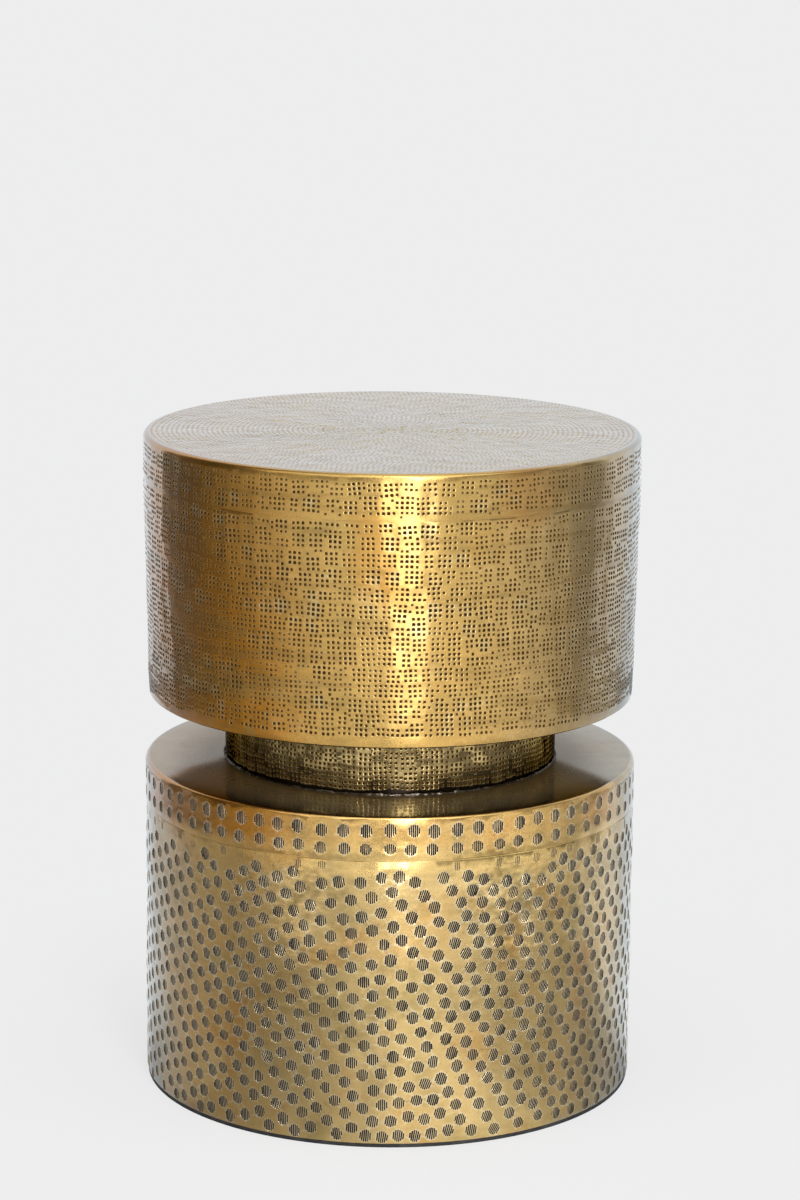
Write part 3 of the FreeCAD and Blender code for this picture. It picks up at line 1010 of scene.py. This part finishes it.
def brass(name, **changes):
    """Antique brass: clouded gold, dark patina in the dents, worn rims with painted highlights,
    and lacquer.
    """
    look = SimpleNamespace(**{**PLAIN_BRASS, **changes})
    material, g, where = new_material(name)
    at = Ground(g, where)
    colour = aged(g, look, at, gilded(g, look, at))
    filled = filling(g, look, at)
    texture = g.plus(g.times(at.clouds, 0.5), g.times(at.fine, 0.5))
    roughness = g.window(texture, 0.35, 0.65, *look.rough)
    roughness = g.plus(roughness, g.times(filled, 0.35), True)
    open_metal = g.window(filled, 0.10, 0.60, 1.0, 0.04)
    # Brazing discolouration, and painted shade under the upper drum, darken and dull the metal
    # near the neck
    if look.heat:
        stained_and_shaded = stain_and_shade_share(g, look, at)
        colour = g.mix(g.times(stained_and_shaded, 0.8), colour, BROWN)
        roughness = g.plus(roughness, g.times(stained_and_shaded, 0.12), True)
        bare = g.math("SUBTRACT", 1.0, g.times(stained_and_shaded, 0.28))
        open_metal = g.times(open_metal, bare)
    colour = marked(g, look, at, colour, filled)

    lacquer = 0.0
    if any(look.coat):
        facing = g.node("ShaderNodeLayerWeight", {"Blend": 0.5}).outputs["Facing"]
        lacquer = g.times(open_metal, g.window(facing, *look.shine, *look.coat))
    normals = {"Normal": brushed_normal(g, look, at)}
    if look.lean:
        slope = g.times(at.y, look.lean)
        normals = {"Normal": g.bump(slope, 1.0, 1.0, normals["Normal"]),
                   "Coat Normal": g.bump(slope, 1.0)}
    around = g.node("ShaderNodeTangent", direction_type="RADIAL", axis="Z").outputs[0]
    tint = g.mix(filled, (*look.edge_tint, 1), FILLED_TINT)
    g.surface(g.node("ShaderNodeBsdfPrincipled", {
        "Base Color": colour, "Metallic": open_metal, "Roughness": roughness,
        "Specular Tint": tint, "Specular IOR Level": 0.0, "Coat IOR": 1.8,
        "Coat Weight": lacquer, "Coat Roughness": look.coat_rough,
        "Anisotropic": look.aniso, "Anisotropic Rotation": 0.25, "Tangent": around, **normals}))
    return material


# How each of the table's brasses differs from the plain one
BRASSES = {
    "punched_brass": {        # upper drum: warm gold with level smears
        "rough": (0.21, 0.33), "coat": (0.06, 1.0), "coat_rough": 0.06, "shine": (0.28, 0.60),
        "amber": 0.92, "warm": (*UPPER_WARMTH, 0.12, 0.60), "haze": 0.45, "stripes": 0.42,
        "bright": (0.84, 0.70, 0.38, 1), "burnished": (0.0, 0.35), "worn_from": 0.85,
        "bevel": 0.25, "dirt": (0.13, 0.30), "hammer": 0.30 * MM,
        "edge_tint": (0.40, 0.60, 0.86)},
    "hammered_brass": {       # lower drum: paler gold with slate-dark ribs
        "rough": (0.18, 0.28), "coat_rough": 0.08, "shine": (0.28, 0.62),
        "gold": (0.75, 0.535, 0.222, 1), "amber": 0.3, "warm": (*SHOULDER_WARMTH, 0.30, 0.8),
        "polish": SEAM_POLISH, "olive": 0.5, "mottle": 0.35, "stripes": 0.12,
        "bright": (0.90, 0.79, 0.54, 1), "burnished": (0.3, 0.6), "worn_from": 0.4,
        "soot": SLATE, "dents": SLATE, "grain": (0.9, 1.1), "dirt": (0.05, 0.16),
        "hammer": 0.80 * MM, "edge_tint": (0.40, 0.60, 0.86)},
    "top_brass": {            # table top, with paler marks
        "rough": (0.20, 0.32), "coat": (0.2, 0.9), "aniso": 0.0, "gold": (0.66, 0.535, 0.30, 1),
        "amber": 0.2, "olive": 0.3, "scratches": 0.2, "fill": 0.34, "dirt": (0.05, 0.2),
        "edge_tint": (0.54, 0.62, 0.84)},
    "neck_brass": {           # dark with painted shade under the upper drum, bare of lacquer, black at its foot with char and painted shade
        "rough": (0.14, 0.22), "coat": (0.0, 0.0), "aniso": 0.0, "gold": (0.56, 0.42, 0.19, 1),
        "amber": 0.2, "dark": 0.92, "burnt": NECK_SHADE_AND_CHAR, "bevel": 0.3,
        "edge_tint": (0.03, 0.03, 0.03)},
    "shoulder_brass": {       # smooth plate, discoloured from brazing and darkened as painted shade around the neck, under the upper drum
        "rough": (0.15, 0.20), "coat": (0.2, 0.85), "coat_rough": 0.09, "aniso": 0.0,
        "gold": (0.57, 0.45, 0.27, 1), "amber": 0.3, "scratches": 0.2, "heat": SHOULDER_STAIN_AND_SHADE,
        "lean": 0.042, "edge_tint": (0.33, 0.45, 0.61)},
    # Braze beads at the neck's ends, darkened all over as dirt and painted shade in the creases
    # there
    "braze": {
        "rough": (0.22, 0.36), "coat": (0.0, 0.2), "aniso": 0.0, "gold": (0.40, 0.38, 0.34, 1),
        "amber": 0.1, "olive": 0.2, "dark": 0.93, "edge_tint": (0.3, 0.32, 0.34)},
    "underside_brass": {      # hidden floor of the upper drum, darkened as painted shade
        "rough": (0.35, 0.50), "coat": (0.0, 0.0), "aniso": 0.0, "amber": 0.8, "dark": 0.8,
        "edge_tint": (0.6, 0.45, 0.25)},
    "inner_brass": {          # straps inside
        "rough": (0.3, 0.45), "aniso": 0.0, "amber": 0.4, "dark": 0.25},
}


def steel(name):
    """Mill-finish steel bar with scale, rust freckles and drawn scratches."""
    material, g, where = new_material(name)
    scale = g.noise(where, 45.0, 4.0, 0.6)
    fine = g.noise(where, 500.0, 3.0, 0.6)
    drawn = g.noise(g.stretch(where, (60, 60, 900)), 1.0, 3.0, 0.6)
    colour = g.mix(g.window(scale, 0.35, 0.65), (0.20, 0.205, 0.21, 1), (0.42, 0.42, 0.41, 1))
    rust = g.times(g.window(fine, 0.58, 0.70), g.window(scale, 0.45, 0.6, 0.1, 0.8))
    colour = g.mix(rust, colour, (0.16, 0.065, 0.025, 1))
    roughness = g.plus(g.window(scale, 0.3, 0.7, 0.32, 0.5), g.times(rust, 0.35), True)
    normal = g.bump(fine, 0.06 * MM, 0.4, g.bump(drawn, 0.06 * MM, 0.4))
    g.surface(g.node("ShaderNodeBsdfPrincipled", {
        "Base Color": colour, "Metallic": 0.9, "Roughness": roughness, "Normal": normal}))
    return material


def rubber(name):
    """Black edging with a grey bloom and dust."""
    material, g, where = new_material(name)
    bloom = g.noise(where, 60.0, 4.0, 0.6)
    grain = g.noise(where, 1400.0, 2.0, 0.5)
    colour = g.mix(g.window(bloom, 0.4, 0.7), (0.012, 0.012, 0.013, 1), (0.035, 0.034, 0.033, 1))
    g.surface(g.node("ShaderNodeBsdfPrincipled", {
        "Base Color": colour, "Roughness": g.window(grain, 0.3, 0.7, 0.55, 0.78),
        "Normal": g.bump(grain, 0.05 * MM, 0.5)}))
    return material


# ---------------------------------------------------------------- pieces

def dot_pattern():
    """The upper drum's dots, from the corner of the top down to the hem."""
    rng = np.random.default_rng(41)
    length = TURN * (TOP_RADIUS + UPPER_FOOT) / 2
    course = np.arange(16)
    heights = (TABLE_TOP - FIRST_STRIKE - STRIKE_ROW * course
               + ROW_CLOSING * course * (course - 1) / 2)
    wave = Ripple(5, 5, 160 * MM, 1.3 * MM)
    patches = Ripple(8, 8, 60 * MM, 0.07)
    middle = (TABLE_TOP + UPPER_WIRE_Z) / 2

    def step(height):
        return STRIKE_STEP * (1.0 if height > middle else 0.94)

    def fullness(place, height):
        angle = place / length * TURN
        side = abs(angle - FRONT)
        worn_side = np.clip(side / 0.5 - 0.3, 0, 1) * np.clip((0.85 - side) / 0.25, 0, 1)
        full = 0.78 if height > middle else 0.82
        full += 0.12 * np.clip((side - 0.65) / 0.3, 0, 1)
        return full - (0.17 if angle > FRONT else 0.03) * worn_side + patches(angle, height)

    return length, *strike_dots(rng, length, heights, step,
                                lambda place: wave(place / length * TURN, 0), fullness)


def top_rings(rng, edge):
    """Rings of dots on the table top: centres, strengths and angles."""
    centres, turns = [], []
    for radius in np.arange(edge - 3.0 * MM, 4 * MM, -DOT_PITCH * 1.03):
        number = int(TURN * radius / (DOT_PITCH * 1.02))
        angle = (np.arange(number) + rng.random()) / number * TURN
        around = angle + rng.normal(0, 0.25 * MM, number) / radius
        away = radius + rng.normal(0, 0.22 * MM, number)
        centres.append(paired(away * np.cos(around), away * np.sin(around)))
        turns.append(around)
    centres, turns = np.concatenate(centres), np.concatenate(turns)
    strength = np.clip(0.7 + rng.normal(0, 0.2, len(centres)), 0.05, 1)
    kept = [i for i in spaced(centres, 3.1 * MM) if strength[i] > 0.22]
    return centres[kept], strength[kept], turns[kept]


def upper_drum(material, disc_material):
    """The punched wall and the top plate with its punched skirt and rings of dots."""
    length, dots, strikes = dot_pattern()
    dishes = Dishes(strikes[:, :2], np.full(len(strikes), STRIKE_SIZE), strikes[:, 2],
                    STRIKE_DEPTH, 0.0)
    swell = Ripple(11, 14, 24 * MM, 0.16 * MM)
    broad = Ripple(12, 8, 90 * MM, 0.16 * MM)
    step_z = TOP_SKIRT_END - LAP_HEIGHT

    def relief(flat, angle):
        height = flat[:, 1]
        seam = crease(height, step_z, -0.13 * MM, 0.7 * MM)
        ridge = crease(height, TOP_SKIRT_END + 2.5 * MM, 0.07 * MM, 2 * MM)
        waves = swell(angle, height) + broad(angle, height) + dishes(flat)
        return waves * hem_calm(height, UPPER_WIRE_Z) + seam + ridge

    marks = Marks()
    dot_dents(marks, *pick_dots(dots, length, UPPER_WIRE_Z + 4 * MM, step_z - 0.2 * MM))
    rng = np.random.default_rng(7)
    shell("upper_wall", marks, material, UPPER_FOOT, TOP_RADIUS, UPPER_WIRE_Z, TOP_SKIRT_END,
          high("upper_shell"), relief, rng, grid=6.0 * MM, clearance=DOT_CLEAR)

    skirt_marks = Marks()
    skirt_top = TABLE_TOP - TOP_CORNER * (1 - CORNER_TURN) - 0.1 * MM
    dot_dents(skirt_marks, *pick_dots(dots, length, TOP_SKIRT_END + 0.2 * MM, skirt_top))
    edge = TOP_RADIUS - TOP_CORNER
    top_marks = Marks()
    dot_dents(top_marks, *top_rings(rng, edge), depth=0.4 * MM, size=2.4 * MM)

    def top_relief(points):
        away, angle = polar(points)
        calm = np.clip((edge - away) / (10 * MM), 0, 1)
        return (swell(angle * 2, away * 1.7) * 0.9 + broad(angle, away)) * calm

    cap("top", skirt_marks, top_marks, [material, disc_material], TOP_RADIUS, TABLE_TOP,
        TOP_CORNER, TOP_SKIRT_END, relief, top_relief, rng, grid=5.5 * MM, clearance=DOT_CLEAR,
        disc_grid=6 * MM, disc_clearance=DOT_CLEAR, node="top_plate", slot="hammered_brass")


def neck(material):
    """The punched collar between the drums."""
    rng = np.random.default_rng(23)
    length = TURN * NECK_RADIUS
    heights = np.arange(NECK_TOP - 6 * MM, SHOULDER_TOP, -12.6 * MM)
    dots, _ = strike_dots(rng, length, heights, lambda height: 12.8 * MM,
                          lambda place: 0.0, lambda place, height: 0.95)
    marks = Marks()
    dot_dents(marks, *pick_dots(dots, length, SHOULDER_TOP + BEAD_RADIUS - 1 * MM,
                                NECK_TOP - BEAD_RADIUS))
    swell = Ripple(31, 10, 22 * MM, 0.08 * MM, NECK_RADIUS)
    skin = Skin()

    def section(v):
        v = np.asarray(v, float)
        return np.full(v.shape, NECK_RADIUS), v

    def relief(flat, angle):
        return swell(angle, flat[:, 1])

    bottom, top = skin.wall(marks, section, SHOULDER_TOP, NECK_TOP, relief, rng,
                            grid=4.5 * MM, clearance=2.2 * MM)
    inside = NECK_RADIUS - SHEET
    skin.lathe(top, [(inside, NECK_TOP), (inside, SHOULDER_TOP)], bottom)
    skin.piece("neck", [material], "neck_collar", "hammered_brass")


def skirt_marks_rows(rng, length):
    """The two level rows of marks on the shoulder's skirt and the faint row below them."""
    rows = []
    number = int(length // SKIRT_STEP)
    places = (np.arange(number) + 0.5) / number * length
    first = SHOULDER_TOP - SKIRT_FIRST
    for height, tall in ((first, 12.0 * MM), (first - SKIRT_SECOND, 10.4 * MM)):
        spots = places + rng.normal(0, 0.8 * MM, number)
        heights = height + rng.normal(0, 0.5 * MM, number)
        for u, v in zip(spots, heights):
            rows.append((u, v, 9.6 * MM, tall * rng.uniform(0.92, 1.05), rng.normal(0, 0.03),
                         rng.uniform(0.75, 1.0)))
    faint = first - SKIRT_SECOND - FAINT_ROW
    for u in places + rng.normal(0, 1.5 * MM, number):
        if rng.random() < 0.8:
            rows.append((u, faint + rng.normal(0, 1.2 * MM), rng.uniform(5, 8) * MM,
                         rng.uniform(7, 9.5) * MM, rng.normal(0, 0.06), rng.uniform(0.22, 0.50)))
    return rows, faint


def wall_spots(rng, length, bottom, top):
    """The centres of the wall's marks, in bent rows of which every second one is offset."""
    front = length / 2
    around = np.linspace(0, length, 800)
    step = around[1] - around[0]

    def along_sheet(values):
        return np.interp(around, front + BENDS, values)

    climbed = np.cumsum(along_sheet(ROW_RISE)) * step
    climbed -= np.interp(front, around, climbed)
    counted = np.cumsum(1 / along_sheet(ROW_PITCH)) * step
    counted *= int(counted[-1]) / counted[-1]
    spread, slip = along_sheet(ROW_SPREAD), along_sheet(ROW_SLIP)
    wave = Ripple(71, 6, 200 * MM, 1.8 * MM, LOWER_RADIUS)
    spots = []
    middle = (top + bottom) / 2
    for index in range(int((middle - top + climbed[0]) // ROUND_ROW),
                       int((middle - bottom + climbed[-1]) // ROUND_ROW) + 1):
        places = np.arange(int(counted[-1])) + 0.5 * (index % 2)
        u = np.interp(places, counted, around)
        v = middle - index * ROUND_ROW * np.interp(u, around, spread)
        v += np.interp(u, around, climbed) + wave(u / length * TURN, v)
        u = u - np.interp(u, around, slip) * (middle - v) / ROUND_ROW
        shake = rng.normal(0, 0.9 * MM, (len(u), 2))
        spots.append(paired(u, v) + shake)
    spots = np.concatenate(spots)
    spots = spots[(spots[:, 1] < top + 4.5 * MM) & (spots[:, 1] > bottom - 4 * MM)]
    spots = eased(spots, NEAREST_ROUND, 14, bottom, top)
    spots[:, 1] += rng.normal(0, 0.3 * MM, len(spots))
    return spots


def round_pattern():
    """The lower drum's marks: centres, widths, heights, tilts and forces."""
    rng = np.random.default_rng(64)
    length = TURN * LOWER_RADIUS
    rows, faint = skirt_marks_rows(rng, length)
    spots = wall_spots(rng, length, LOWER_WIRE_Z + ABOVE_WIRE, faint - BELOW_FAINT)
    lean = Ripple(72, 6, 240 * MM, 0.08, LOWER_RADIUS)
    for u, v in spots[rng.permutation(len(spots))]:
        width, height = rng.normal(9.9, 0.5) * MM, rng.normal(10.8, 0.5) * MM
        tilt = np.interp(u, length / 2 + BENDS[[1, 4]], TILT_ENDS) + lean(u / length * TURN, v)
        rows.append((u, v, width, height, tilt + rng.normal(0, 0.08),
                     np.clip(rng.normal(0.96, 0.08), 0.55, 1.0)))
    rows = np.array(rows)
    rows = rows[(rows[:, 0] > SEAM_CLEAR + 5 * MM) & (rows[:, 0] < length - SEAM_CLEAR - 5 * MM)]
    return length, rows[spaced(rows[:, :2], ROUND_GAP)]


def lower_drum(material, disc_material):
    """The hammered wall and the smooth shoulder plate with two rows of marks on its skirt."""
    length, rows = round_pattern()
    swell = Ripple(51, 12, 24 * MM, 0.22 * MM, LOWER_RADIUS)
    broad = Ripple(52, 8, 110 * MM, 0.2 * MM, LOWER_RADIUS)
    step_z = SHOULDER_SKIRT_END - LAP_HEIGHT
    dishes = Dishes(rows[:, :2], (rows[:, 2] + rows[:, 3]) / 2, rows[:, 5], DISH_DEPTH,
                    0.20 * MM)

    def relief(flat, angle):
        height = flat[:, 1]
        seam = crease(height, step_z, -0.25 * MM, 1.1 * MM)
        ridge = crease(height, SHOULDER_SKIRT_END + 3.5 * MM, 0.18 * MM, 3 * MM)
        waves = swell(angle, height) + broad(angle, height)
        return waves * hem_calm(height, LOWER_WIRE_Z) + seam + ridge + dishes(flat)

    on_skirt = rows[:, 1] > SHOULDER_SKIRT_END + 5.4 * MM
    on_wall = rows[:, 1] < step_z - 4.4 * MM
    rng = np.random.default_rng(9)
    marks = Marks()
    chosen = rows[on_wall]
    limits = (LOWER_WIRE_Z - HEM_START + 0.5 * MM, step_z - 0.5 * MM)
    round_dents(marks, rng, limits, chosen[:, :2], *chosen[:, 2:].T)
    shell("lower_wall", marks, material, LOWER_RADIUS, LOWER_RADIUS, LOWER_WIRE_Z,
          SHOULDER_SKIRT_END, high("lower_shell"), relief, rng, grid=6.6 * MM,
          clearance=ROUND_CLEAR)
    skirt_marks = Marks()
    chosen = rows[on_skirt]
    limits = (SHOULDER_SKIRT_END + 0.5 * MM,
              SHOULDER_TOP - SHOULDER_CORNER * (1 - CORNER_TURN) - 0.5 * MM)
    round_dents(skirt_marks, rng, limits, chosen[:, :2], *chosen[:, 2:].T)
    plate_wave = Ripple(55, 8, 60 * MM, 0.10 * MM)
    edge = LOWER_RADIUS - SHOULDER_CORNER

    def plate_relief(points):
        away, angle = polar(points)
        near = np.clip((away - NECK_RADIUS) / (8 * MM), 0, 1)
        return plate_wave(angle, away) * np.clip((edge - away) / (10 * MM), 0, 1) * near

    cap("shoulder", skirt_marks, Marks(), [material, disc_material], LOWER_RADIUS, SHOULDER_TOP,
        SHOULDER_CORNER, SHOULDER_SKIRT_END, relief, plate_relief, rng, grid=5.0 * MM,
        clearance=ROUND_CLEAR, disc_grid=6 * MM, disc_clearance=1, node="shoulder_plate",
        slot="smooth_brass", vent=True)


def bead(name, node, material, height, side, seed):
    """A lumpy braze fillet around the neck, above a height (side 1) or below it (side -1)."""
    skin = Skin(columns=720)
    rng = np.random.default_rng(seed)
    coarse = Ripple(seed, 16, 9 * MM, 0.28 * MM, NECK_RADIUS)
    fine = Ripple(seed + 1, 16, 3.2 * MM, 0.18 * MM, NECK_RADIUS)
    angle = skin.angles
    size = BEAD_RADIUS * 0.42 + coarse(angle, 0) + fine(angle, 0)
    rings = []
    for step, turn in enumerate(np.radians((-12, 12, 34, 56, 78, 104))):
        lump = size + fine(angle, step * 4 * MM) * 0.8 + rng.normal(0, 0.10 * MM, len(angle))
        away = NECK_RADIUS - 0.3 * MM + np.maximum(lump, 0.8 * MM) * math.cos(turn)
        rise = np.maximum(lump, 0.8 * MM) * math.sin(turn) * 1.3
        rings.append(skin.ring(away, height + side * rise))
    back = skin.ring(NECK_RADIUS - SHEET / 2, height + side * SHEET / 2)
    skin.close(rings + [back] if side > 0 else [back] + rings[::-1])
    return skin.piece(name, [material], node, "braze", crease=80)


def lap_braze(name, material, radius, seed):
    """The filler along a skirt's edge, dressed almost flush."""
    node = name + "_braze"
    low_z, high_z = low(node), high(node)
    skin = Skin()
    wave = Ripple(seed, 12, 14 * MM, 0.05 * MM)
    face = radius - 0.12 * MM + wave(skin.angles, 0)
    outer = radius - 0.05 * MM
    skin.close([skin.ring(outer, low_z), skin.ring(face, (low_z + high_z) / 2),
                skin.ring(outer, high_z), skin.ring(radius - SHEET, high_z)])
    return skin.piece(name, [material], node, "braze", crease=60)


# ---------------------------------------------------------------- stage, lamps and camera

BACKDROP = (0.847, 0.847, 0.852, 1)
DAYLIGHT = (0.92, 0.92, 0.93, 1)        # lights whatever isn't glossy
PAPER = (0.80, 0.80, 0.805, 1)

# Distances from the table at which one brightness of the floor gives way to the next
NEAR_TO_MIDDLE = (0.9, 1.15)
MIDDLE_TO_FAR = (1.2, 1.5)
COLLAR_BEGINS = (1.33, 1.36)            # the stretch that the neck mirrors
COLLAR_ENDS = (1.56, 1.52)
SHADOW_FADES = (0.20, 0.60)

# Brightness that the metal sees around it, by share of a turn from the camera side:
# 0.5 is the camera, 0.25 is the left (-X), 0.75 is the right, 0 and 1 lie behind the table.
FAR = ((0.00, 0.95), (0.12, 0.95), (0.144, 0.90), (0.152, 0.17), (0.21, 0.13), (0.247, 0.17),
       (0.294, 0.38), (0.339, 0.62), (0.378, 0.84), (0.417, 0.98), (0.453, 1.02), (0.50, 0.95),
       (0.572, 0.97), (0.611, 0.92), (0.65, 0.88), (0.69, 0.74), (0.736, 0.46), (0.775, 0.25),
       (0.80, 0.52), (0.83, 0.92), (1.00, 0.95))
NEAR = ((0.00, 0.95), (0.12, 0.95), (0.14, 0.92), (0.19, 0.70), (0.225, 0.52), (0.25, 0.49),
        (0.294, 0.45), (0.339, 0.31), (0.378, 0.34), (0.417, 0.43), (0.453, 0.60), (0.50, 1.04),
        (0.548, 1.08), (0.572, 0.84), (0.611, 0.54), (0.65, 0.46), (0.69, 0.41), (0.736, 0.50),
        (0.755, 0.72), (0.775, 0.88), (0.80, 1.04), (0.83, 1.00), (1.00, 0.95))
MIDDLE = ((0.00, 0.95), (0.12, 0.95), (0.14, 0.92), (0.165, 0.38), (0.194, 0.34), (0.23, 0.45),
          (0.294, 0.55), (0.351, 1.02), (0.403, 1.98), (0.452, 1.05), (0.50, 0.14), (0.524, 0.80),
          (0.548, 1.52), (0.597, 2.36), (0.649, 2.30), (0.706, 1.45), (0.75, 0.72), (0.775, 0.64),
          (0.80, 0.80), (0.83, 0.92), (1.00, 0.95))
COLLAR = ((0.00, 0.30), (0.12, 0.20), (0.21, 0.08), (0.31, 0.01), (0.39, 0.03), (0.44, 0.75),
          (0.464, 2.80), (0.50, 3.10), (0.536, 2.00), (0.57, 1.10), (0.61, 0.35), (0.69, 0.42),
          (0.76, 0.08), (0.80, 0.08), (1.00, 0.30))
BRIGHTEST = 3.2               # by which they are divided, so that a ramp's stops stay below 1


def surround(g, vector, around, shift=0.5, spread=1.0):
    """The brightness around the table in the direction of a vector.

    The shift turns the surroundings and the spread widens them.
    """
    split = g.node("ShaderNodeSeparateXYZ", {0: vector})
    turn = g.math("ARCTAN2", split.outputs["X"], g.times(split.outputs["Y"], -1.0))
    share = g.plus(g.times(g.math("DIVIDE", turn, TURN), spread), shift)
    stops = [(place, (value / BRIGHTEST,) * 3) for place, value in around]
    return g.mix(1.0, g.ramp(share, stops), (BRIGHTEST, BRIGHTEST, BRIGHTEST, 1), "MULTIPLY")


def seen_by(g):
    """1 for camera rays, 1 for glossy or transmission rays."""
    path = g.node("ShaderNodeLightPath")
    glossy = g.math("MAXIMUM", path.outputs["Is Glossy Ray"], path.outputs["Is Transmission Ray"])
    return path.outputs["Is Camera Ray"], glossy


def make_world():
    """A plain pale studio for the camera, and a shaded one for the metal."""
    world = bpy.data.worlds.new("studio")
    bpy.context.scene.world = world
    world.use_nodes = True
    g = Graph(world.node_tree)
    where = g.node("ShaderNodeTexCoord").outputs["Generated"]
    camera, glossy = seen_by(g)
    _, y, z = g.node("ShaderNodeSeparateXYZ", {0: where}).outputs
    lift = g.times(g.window(z, 0.15, 0.8, 1.0, 0.8), g.window(y, -0.1, 0.35, 0.4, 1.0))
    overhead = g.times(g.window(z, 0.45, 0.75, 0.0, 1.7), g.window(y, 0.15, -0.25, 0.15, 1.0))
    shaded = g.mix(1.0, surround(g, where, FAR), g.plus(lift, overhead), "MULTIPLY")
    colour = g.mix(glossy, DAYLIGHT, shaded)
    colour = g.mix(camera, colour, BACKDROP)
    g.surface(g.node("ShaderNodeBackground", {"Color": colour, "Strength": 1.0}), "World")


def mirrored_floor(g, where, away):
    """What the metal sees on the floor, by direction and distance from the table."""
    near = surround(g, where, NEAR, shift=g.window(away, 0.35, 0.85, 0.478, 0.513))
    far = surround(g, where, FAR, shift=g.window(away, 1.6, 2.4, 0.507, 0.496),
                   spread=g.window(away, 1.6, 2.4, 1.075, 0.982))
    around = g.mix(g.window(away, *NEAR_TO_MIDDLE), near, surround(g, where, MIDDLE))
    around = g.mix(g.window(away, *MIDDLE_TO_FAR), around, far)
    collar_share = g.times(g.window(away, *COLLAR_BEGINS), g.window(away, *COLLAR_ENDS))
    around = g.mix(collar_share, around, surround(g, where, COLLAR))
    dim = g.times(g.window(away, 0.25, 0.7, 1.06, 1.0), g.window(away, 1.65, 2.3, 0.96, 1.08))
    return g.node("ShaderNodeEmission", {"Color": around, "Strength": dim})


def floor_paper():
    """Paper with the table's shadow near it, which fades into the backdrop. Clear from below."""
    material, g, where = new_material("floor_paper")
    camera, glossy = seen_by(g)
    away = g.node("ShaderNodeVectorMath", {0: where}, operation="LENGTH").outputs["Value"]
    paper = g.node("ShaderNodeBsdfDiffuse", {"Color": PAPER})
    plain = g.node("ShaderNodeEmission", {"Color": BACKDROP, "Strength": 1.0})
    to_camera = g.times(camera, g.window(away, *SHADOW_FADES, 0.78, 1.0))
    above = g.blend(glossy, g.blend(to_camera, paper, plain), mirrored_floor(g, where, away))
    underneath = g.node("ShaderNodeNewGeometry").outputs["Backfacing"]
    g.surface(g.blend(underneath, above, g.node("ShaderNodeBsdfTransparent")))
    return material


def make_floor():
    """A wide level floor under the table."""
    size = 40.0
    corners = [(-size, -size, 0), (size, -size, 0), (size, size, 0), (-size, size, 0)]
    mesh = bpy.data.meshes.new("floor")
    mesh.from_pydata(corners, [], [(0, 1, 2, 3)])
    mesh.materials.append(floor_paper())
    floor = bpy.data.objects.new("floor", mesh)
    bpy.context.scene.collection.objects.link(floor)


def lamp(name, azimuth, elevation, distance, width, height, watts, colour=(1, 1, 1)):
    """A soft box that faces the table's middle. Azimuth 0 is the camera side, + is right."""
    data = bpy.data.lights.new(name, "AREA")
    data.shape = "RECTANGLE"
    data.size, data.size_y = width, height
    data.energy = watts
    data.color = colour
    made = bpy.data.objects.new(name, data)
    a, e = math.radians(azimuth), math.radians(elevation)
    middle = Vector((0, 0, TABLE_TOP / 2))
    away = Vector((math.sin(a) * math.cos(e), -math.cos(a) * math.cos(e), math.sin(e)))
    made.location = middle + away * distance
    made.rotation_euler = away.to_track_quat("Z", "Y").to_euler()
    made.visible_camera = False
    bpy.context.scene.collection.objects.link(made)
    return made


def make_camera():
    """The camera at the fitted place, looking 12 degrees down."""
    data = bpy.data.cameras.new("camera")
    data.sensor_width = SENSOR
    data.lens = FOCAL_PIXELS * SENSOR / IMAGE_HEIGHT
    data.clip_end = 200
    camera = bpy.data.objects.new("camera", data)
    tilt = Matrix.Rotation(math.pi / 2 - CAMERA_PITCH, 4, "X")
    roll = Matrix.Rotation(CAMERA_ROLL, 4, "Z")
    camera.matrix_world = Matrix.Translation(CAMERA_PLACE) @ tilt @ roll
    bpy.context.scene.collection.objects.link(camera)
    bpy.context.scene.camera = camera


# ---------------------------------------------------------------- the whole table

def dress_nodes(material, names):
    """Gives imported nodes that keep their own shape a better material."""
    for name in names:
        for material_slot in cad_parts[name].material_slots:
            material_slot.material = material


def main():
    made = {name: brass(name, **changes) for name, changes in BRASSES.items()}
    braze = made["braze"]
    bar = steel("bar_steel")
    edging = rubber("edging_rubber")

    upper_drum(made["punched_brass"], made["top_brass"])
    neck(made["neck_brass"])
    lower_drum(made["hammered_brass"], made["shoulder_brass"])
    bead("lower_bead", "neck_lower_bead", braze, SHOULDER_TOP, 1, 81)
    bead("upper_bead", "neck_upper_bead", braze, NECK_TOP, -1, 85)
    lap_braze("top_lap", made["punched_brass"], TOP_RADIUS, 91)
    lap_braze("shoulder_lap", made["hammered_brass"], LOWER_RADIUS, 92)

    dress_nodes(made["underside_brass"], ("upper_floor_plate",))
    dress_nodes(made["inner_brass"], ("lower_seam_strap", "neck_seam_strap", "upper_seam_strap"))
    dress_nodes(braze, ("base_hoop_tacks", "upper_floor_tacks"))
    dress_nodes(bar, [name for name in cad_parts
                      if "_brace_" in name or name.endswith("_rim_wire")] + ["base_hoop"])
    dress_nodes(edging, ("rubber_foot_ring",))

    make_world()
    make_floor()
    lamp("window", azimuth=7, elevation=7.8, distance=1.2, width=0.28, height=0.67, watts=2.1,
         colour=(0.95, 0.97, 1.06))
    lamp("key", azimuth=11, elevation=38, distance=2.6, width=0.5, height=1.6, watts=25)
    lamp("fill", azimuth=-50, elevation=30, distance=3.0, width=1.2, height=1.2, watts=3)
    make_camera()
    bpy.context.scene.view_settings.view_transform = "Standard"


main()
bpy.context.view_layer.update()
